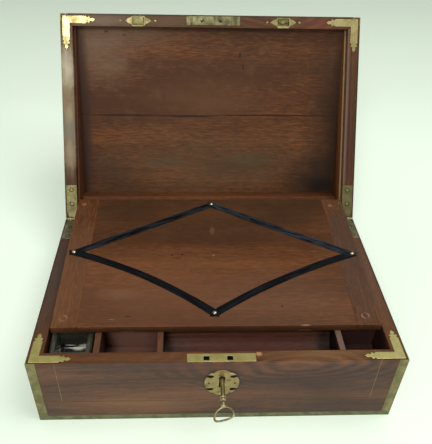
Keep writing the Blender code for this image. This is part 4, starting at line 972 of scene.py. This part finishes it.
class WRITINGBOX_OT_studs(bpy.types.Operator):
    """Four turned brass studs over the ribbon's corners"""

    bl_idname = "writing_box.studs"
    bl_label = "Ribbon studs"

    def execute(self, context):
        sizes = context.scene.writing_box_sizes
        finish = brass("polished_brass_studs", 5, "#cfc8ae", "#a39a74", "#5d6f4a", 0.2, (0.16, 0.32))
        # From the crown: a dome stud_rise * sqrt(1 - (r / radius)^2) high, a thin rim, a shank in the wood
        share = np.sin(np.linspace(0.01, pi / 2, 14))
        under, shank = (FLAP_TOP_MM + 1.1) * MM, 0.9 * MM
        radii = np.concatenate((sizes.stud_radius * np.array((*share, 1, 0.85)), [shank, shank]))
        dome = under + 0.3 * MM + sizes.stud_rise * np.sqrt(1 - share ** 2)
        heights = np.concatenate((dome, [under + 0.1 * MM, under, under, (FLAP_TOP_MM - 4) * MM]))
        head = turned(radii, heights)
        skins = [skin(head + (x, y, 0), "flap") for x, y in STUDS]
        studs = piece("ribbon_studs", skins, finish, "flap")
        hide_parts("flap_stud_back", "flap_stud_left", "flap_stud_front", "flap_stud_right")
        return {"FINISHED"}


class WRITINGBOX_OT_key(bpy.types.Operator):
    """The key in the lock, with turned collars, a wire bow and a warded bit"""

    bl_idname = "writing_box.key"
    bl_label = "Key"

    def execute(self, context):
        wire = context.scene.writing_box_sizes.bow_wire
        finish = brass("handled_brass_key", 6, "#b5ab80", "#7f7650", "#4d4630", 0.35, (0.3, 0.5))
        parts = ((self.shank(), False), (self.bow(wire), True), (self.bit(), False))
        skins = [skin(self.in_lock(points), ring=ring) for points, ring in parts]
        key = piece("lock_key", skins, finish, "key")
        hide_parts("key")
        return {"FINISHED"}

    def in_lock(self, points):
        """From the key's own axis (Z out of the lock) to the CAD frame: turned, then put in the keyhole."""
        turn = np.array(Matrix.Rotation(KEY_TURN, 3, "Y") @ Matrix.Rotation(pi / 2, 3, "X"))
        return points @ turn.T + KEY_ORIGIN

    def shank(self):
        """Radius along the axis in mm: a plain tube, beads with a vase between them, and a bored end.

        A bead is 1.5 + 1.5 sqrt(1 - s^2), s counted in its half length, and the vase swells by a bell curve.
        """
        z = np.linspace(-10.3, 34.0, 220)
        radius = np.where(z < 0, 2.0, 2.3)
        vase = 1.9 + 0.4 * np.exp(-((z - 30.0) / 2.0) ** 2)
        radius = np.where(z > 25, vase, radius)
        for centre, half in ((25.5, 1.5), (33.0, 1.0), (22.8, 0.6)):
            bead = 1.5 + 1.5 * np.sqrt(np.clip(1 - ((z - centre) / half) ** 2, 0, 1))
            radius = np.where(np.abs(z - centre) < half, np.maximum(radius, bead), radius)
        radius = np.where(z < -9.9, 2.0 - 0.3 * (-9.9 - z) / 0.4, radius)
        radii = np.concatenate(([1.3, 1.3], radius, [1.2]))
        heights = np.concatenate(([-2.4, -10.3], z, [34.3]))
        return turned(radii * MM, heights * MM, 36)

    def bow(self, wire):
        """A flattened wire round a loop that is a (1 + 0.2 cos) |sin|^p wide and b |cos|^p long.

        The power p is 0.65 on the half away from the shank, else 1.
        """
        angle = steps_round(96)
        along, across = np.cos(angle), np.sin(angle)
        power = np.where(along > 0, 0.65, 1.0)
        half_long, half_wide, neck = 7.69 * MM, 10.35 * MM, 34 * MM
        wide = half_wide * (1 + 0.2 * along) * signed_power(across, power)
        tall = half_long * signed_power(along, power)
        path = np.stack((np.zeros_like(angle), wide, tall + neck + half_long), axis=-1)
        along = np.roll(path, -1, axis=0) - np.roll(path, 1, axis=0)
        along /= np.linalg.norm(along, axis=1)[:, None]
        turn = steps_round(14)
        section = np.stack((1.1 * wire * np.cos(turn), 0.95 * wire * np.sin(turn)), axis=-1)
        up = (1, 0, 0)
        return swept(path, np.cross(along, up), up, section)

    def bit(self):
        """The bit: an outline with two wards, drawn through its thickness with eased edges."""
        outline = np.array((
            (-2.0, -10.0), (-7.3, -10.0), (-7.3, -8.6), (-5.2, -8.6), (-5.2, -7.7), (-7.3, -7.7),
            (-7.3, -5.5), (-4.2, -5.5), (-4.2, -6.3), (-3.4, -6.3), (-3.4, -5.5), (-2.0, -5.5),
        ))
        middle = outline.mean(axis=0)
        levels = np.array((-1.0, -0.85, 0.85, 1.0))[:, None, None]
        eased = np.array((0.95, 1.0, 1.0, 0.95))[:, None, None]
        rows = middle + (outline - middle) * eased
        x = np.broadcast_to(levels, (4, len(outline), 1))
        return np.concatenate((x, rows), axis=-1) * MM


class WRITINGBOX_OT_ink_well(bpy.types.Operator):
    """Open square glass well with dried ink in it"""

    bl_idname = "writing_box.ink_well"
    bl_label = "Ink well"

    def execute(self, context):
        wall = context.scene.writing_box_sizes.well_wall / MM
        low, high = (np.array(corner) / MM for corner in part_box("ink_well"))
        half_x, half_y, _ = (high - low) / 2
        middle_x, middle_y, _ = (high + low) / 2
        tall = high[2] - low[2]
        # Insets and heights in mm: the glass from its foot over the rim and down inside, then the ink
        rows = [(2.2, 0), (0.8, 0.3), (0.1, 1.2), (0, 2.4), (0, tall - 2.6), (0.7, tall - 1.1)]
        rows += [(2.4, tall - 0.1), (3.0, tall), (wall - 1.2, tall), (wall - 0.4, tall - 0.5)]
        rows += [(wall, tall - 1.6), (wall, 12), (wall + 0.5, 10), (wall + 1.8, 8.5), (wall + 4, 8)]
        film = [(wall + 4.2, 8.06), (wall + 2.0, 8.6), (wall + 0.75, 10.1), (wall + 0.3, 16.5)]
        film += [(wall + 0.6, 16.5), (wall + 1.2, 10.4), (wall + 2.4, 9.3), (wall + 5, 9.0)]
        corner, ease, least = 4.0, 0.35, 1.2
        spot = (middle_x, middle_y, low[2])
        glass, ink = (
            skin(stepped_square(profile, half_x, half_y, corner, ease, least), "base", spot)
            for profile in (rows, film)
        )
        clear = pressed_glass(context.scene.writing_box_colours.glass)
        well = piece("glass_well", [glass], clear, "base")
        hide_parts("ink_well")
        piece("ink_residue", [ink], dried_ink(), "base")
        return {"FINISHED"}


class WRITINGBOX_OT_screws(bpy.types.Operator):
    """Hinge screws, escutcheon pins, and the pads, beads and screw of the catches"""

    bl_idname = "writing_box.screws"
    bl_label = "Screws, pins and beads"

    def execute(self, context):
        radius = context.scene.writing_box_sizes.screw_radius / MM
        # Dark fill: dirt, and painted shade in the escutcheon's slits and round the screw heads
        dirt_and_shade = end_grain("packed_dirt", "#241b12", "#130d08", 0.03)
        self.make_hinge_screws(radius, dirt_and_shade)
        self.make_beads()
        self.make_catch_pads()
        self.make_shield_pins(dirt_and_shade)
        return {"FINISHED"}

    def make_hinge_screws(self, radius, dirt_and_shade):
        """Slotted heads flush in the leaves; the lid's are turned over.

        Round each lies a thin dark ring, a painted shadow of the gap round the head, whose section is an
        ellipse.
        """
        finish = brass("turned_brass_screws", 7, 0.66, 0.6, "#3d3420", 0.5, (0.25, 0.45))
        turn = steps_round(10)
        ring = turned((1.12 * radius + 0.4 * np.cos(turn)) * MM, 0.05 * MM * np.sin(turn))
        for body, place, up in (("base", "rim", 1), ("lid", "lid_rim", -1)):
            heads, rings = [], []
            for n, (x, y) in enumerate(HINGE_SCREWS):
                head = dome_head(radius, slot=0.12, slot_width=0.7, slot_turn=0.6 + 1.1 * n)
                spot = (x, y, -up * RIM_MM)
                heads.append(skin(head * (1, 1, up), place, spot))
                rings.append(skin(ring * (1, 1, up), place, spot, True))
            piece(f"{body}_screws", heads, finish, body)
            # Dark rings: painted shadow round the heads
            piece(f"{body}_screw_shadow_ring", rings, dirt_and_shade, body)

    def make_beads(self):
        """Long low beads at the points of the catch plates, and a small slotted screw."""
        worn = brass("dull_brass_beads", 17, 0.7, 0.75, "#6a5c3c", 0.3, (0.4, 0.6))
        bead = dome_head(1.25) * (1.25, 1, -1)
        screw = dome_head(1.5, slot=0.1, slot_width=0.5, slot_turn=0.9) * (1, 1, -1)
        forms = [(bead, x) for x in CATCH_BEADS_X] + [(screw, CATCH_SCREW_X)]
        beads = [skin(form, "lid_rim", (x, CATCH_Y, RIM_MM)) for form, x in forms]
        piece("lid_beads", beads, worn, "lid")

    def make_catch_pads(self):
        """Flat pads on the catches: a cover on the left slide, an oval on the right one, a lip below each."""
        handled, dull = (bpy.data.materials[name] for name in ("handled_brass_catch", "dull_brass_catches"))
        corner, left = 0.5, CATCHES_X[0]
        cover = stepped_square(((0.0, -0.02), (0.0, -0.08), (0.3, -0.13)), 7.6, 5.4, corner)
        cover = skin(cover, "lid_rim", (left, COVER_Y, RIM_MM))
        piece("catch_cover_left", [cover], handled, "left_catch")
        oval = dome_head(2.4, rise=0.1, depth=0.01) * (1.35, 1, -1)
        oval = skin(oval, "lid_rim", (CATCH_OVAL_X, CATCH_Y, RIM_MM - 0.03))
        piece("catch_oval_right", [oval], dull, "right_catch")
        lip = stepped_square(((0.0, 0.1), (0.0, -0.005), (0.1, -0.012)), 7.4, 0.8, corner)
        lips = [skin(lip, "lid_rim", (x, LIP_Y, RIM_MM)) for x in CATCHES_X]
        piece("catch_lips", lips, dull, "lid")

    def make_shield_pins(self, dirt_and_shade):
        """Round pins at the sides of the escutcheon, and dark pads in its slits: dirt and painted shade."""
        facing = np.array(Matrix.Rotation(pi / 2, 3, "X")).T
        pit = dome_head(2.1, rise=0.05) * (1.45, 1, 1) @ facing
        # Dark pads in the slits: packed dirt, with painted shade where the slits are deep
        pits = [skin(pit, "base", (x, SHIELD_FACE_MM, z)) for x, z in SHIELD_SLITS]
        piece("escutcheon_slit_shade", pits, dirt_and_shade, "base")
        pin = dome_head(1.3, rise=0.5) @ facing
        pins = [skin(pin, "base", (x, SHIELD_FACE_MM, z)) for x, z in SHIELD_PINS]
        dull = brass("blackened_brass_pins", 13, "#5c5332", "#3f3822", "#2a2416", 0.5, (0.3, 0.5))
        piece("escutcheon_pins", pins, dull, "base")


class WRITINGBOX_OT_stringing(bpy.types.Operator):
    """Brass line let into the front"""

    bl_idname = "writing_box.stringing"
    bl_label = "Stringing"

    def execute(self, context):
        half = context.scene.writing_box_sizes.string_width / 2 / MM
        pale = brass("inlaid_brass_line", 8, "#8a785a", "#6c5b45", "#554633", 0.4, (0.4, 0.6))
        black = brass("blackened_brass_line", 14, "#5f5038", "#4a3c2b", "#3a2e22", 0.5, (0.45, 0.6))
        left, right = (-STRING_SIDE, STRING_LOW), (STRING_SIDE, STRING_LOW)
        uprights = [self.line(low, (low[0], STRING_HIGH), half) for low in (left, right)]
        piece("front_stringing", uprights, pale, "base")
        piece("low_stringing", [self.line(left, right, half)], black, "base")
        return {"FINISHED"}

    def line(self, start, end, half):
        """A strip with eased edges along a straight line of the front, 0.06 mm proud of it; all in mm."""
        start, side = np.array(start), np.subtract(end, start)
        x, z = (start + side * np.linspace(0, 1, 24)[:, None]).T
        path = np.column_stack((x, np.full_like(x, FRONT_MM), z))
        along_x, along_z = side / np.linalg.norm(side)
        section = np.array(((-1, -0.3), (1, -0.3), (1, 0.04), (0.9, 0.06), (-0.9, 0.06), (-1, 0.04)))
        return skin(swept(path, (-along_z, 0, along_x), (0, -1, 0), section * (half, 1)) * MM)


class WRITINGBOX_OT_plugs(bpy.types.Operator):
    """Wooden plugs over the flap's screws, wax in its joints, and the bushing at its corner"""

    bl_idname = "writing_box.plugs"
    bl_label = "Plugs and bushing"

    def execute(self, context):
        radius = context.scene.writing_box_sizes.plug_radius / MM
        skins = []
        # Two waves run round a plug's outline, and the bushing is a ring with an elliptic section.
        for n, (x, y, size) in enumerate(PLUGS):
            disc = dome_head(size * radius, rise=0.08, depth=0.4)
            angle = np.arctan2(disc[..., 1], disc[..., 0])
            uneven = 1 + 0.05 * np.sin(3 * angle + n) + 0.04 * np.sin(5 * angle + 2 * n)
            disc[..., :2] *= uneven[..., None]
            skins.append(skin(disc, "flap", (x, y, FLAP_TOP_MM)))
        for n, (x, y) in enumerate(PLUG_RINGS):
            skins.append(skin(self.broken_ring(1.25 * radius, n), "flap", (x, y, FLAP_TOP_MM), True))
        piece("flap_plugs", skins, end_grain("plug_end_grain", "#8b5d41", "#6e452e"), "flap")
        self.fill_joints()
        dark = toned(context.scene.writing_box_colours.brass_dark)
        metal = brass("dark_brass_bushing", 9, dark, 0.6, "#3d3420", 0.6, (0.3, 0.5))
        turn = steps_round(12)
        ring = turned((2.2 + 0.75 * np.cos(turn)) * MM, 0.3 * MM * np.sin(turn), 36)
        piece("flap_bushing", [skin(ring, "flap", BUSHING, True)], metal, "flap")
        return {"FINISHED"}

    def fill_joints(self):
        """Wax along the joints of board and clamps: a flat strip down each, flush with the flap's face."""
        front, back = -236.4, -0.6
        section = np.array(((-0.4, -1.5), (0.4, -1.5), (0.4, 0.02), (-0.4, 0.02)))
        skins = []
        for x, _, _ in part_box("flap_panel"):
            path = np.array([(x / MM, y, FLAP_TOP_MM) for y in (front, back)])
            skins.append(skin(swept(path, (1, 0, 0), (0, 0, 1), section) * MM, "flap"))
        piece("flap_joint_wax", skins, bpy.data.materials["flap_mahogany"], "flap")

    def broken_ring(self, radius, n):
        """Filler round a plug, in mm: a flat ring whose width goes as 0.15 + 0.55 (1 + sin(2 a + n))."""
        angle, turn = steps_round(48), steps_round(10)[:, None]
        width = 0.15 + 0.55 * (1 + np.sin(2 * angle + n))
        away = radius + width * np.cos(turn)
        level = 0.06 * np.sin(turn) * np.ones_like(angle)
        return np.stack((away * np.cos(angle), away * np.sin(angle), level), axis=-1) * MM


OPERATORS = (
    WRITINGBOX_OT_stage,
    WRITINGBOX_OT_woods,
    WRITINGBOX_OT_brasswork,
    WRITINGBOX_OT_ribbon,
    WRITINGBOX_OT_studs,
    WRITINGBOX_OT_key,
    WRITINGBOX_OT_ink_well,
    WRITINGBOX_OT_screws,
    WRITINGBOX_OT_stringing,
    WRITINGBOX_OT_plugs,
)


class VIEW3D_PT_writing_box(bpy.types.Panel):
    """Lists the makers of the box's pieces with their sizes and colours"""

    bl_label = "Writing box"
    bl_idname = "VIEW3D_PT_writing_box"
    bl_space_type = "VIEW_3D"
    bl_region_type = "UI"
    bl_category = "Writing box"

    def draw(self, context):
        for operator in OPERATORS:
            self.layout.operator(operator.bl_idname)
        for group in (context.scene.writing_box_sizes, context.scene.writing_box_colours):
            for name in group.__annotations__:
                self.layout.prop(group, name)


CLASSES = (WritingBoxSizes, WritingBoxColours, *OPERATORS, VIEW3D_PT_writing_box)


def register():
    """Adds the classes and the two groups of settings."""
    for item in CLASSES:
        bpy.utils.register_class(item)
    bpy.types.Scene.writing_box_sizes = PointerProperty(type=WritingBoxSizes)
    bpy.types.Scene.writing_box_colours = PointerProperty(type=WritingBoxColours)


def unregister():
    """Takes them away again."""
    del bpy.types.Scene.writing_box_colours
    del bpy.types.Scene.writing_box_sizes
    for item in reversed(CLASSES):
        bpy.utils.unregister_class(item)


def main():
    register()
    makers = bpy.ops.writing_box
    makers.stage()
    makers.woods()
    makers.brasswork()
    makers.ribbon()
    makers.studs()
    makers.key()
    makers.ink_well()
    makers.screws()
    makers.stringing()
    makers.plugs()


if __name__ == "__main__":
    main()
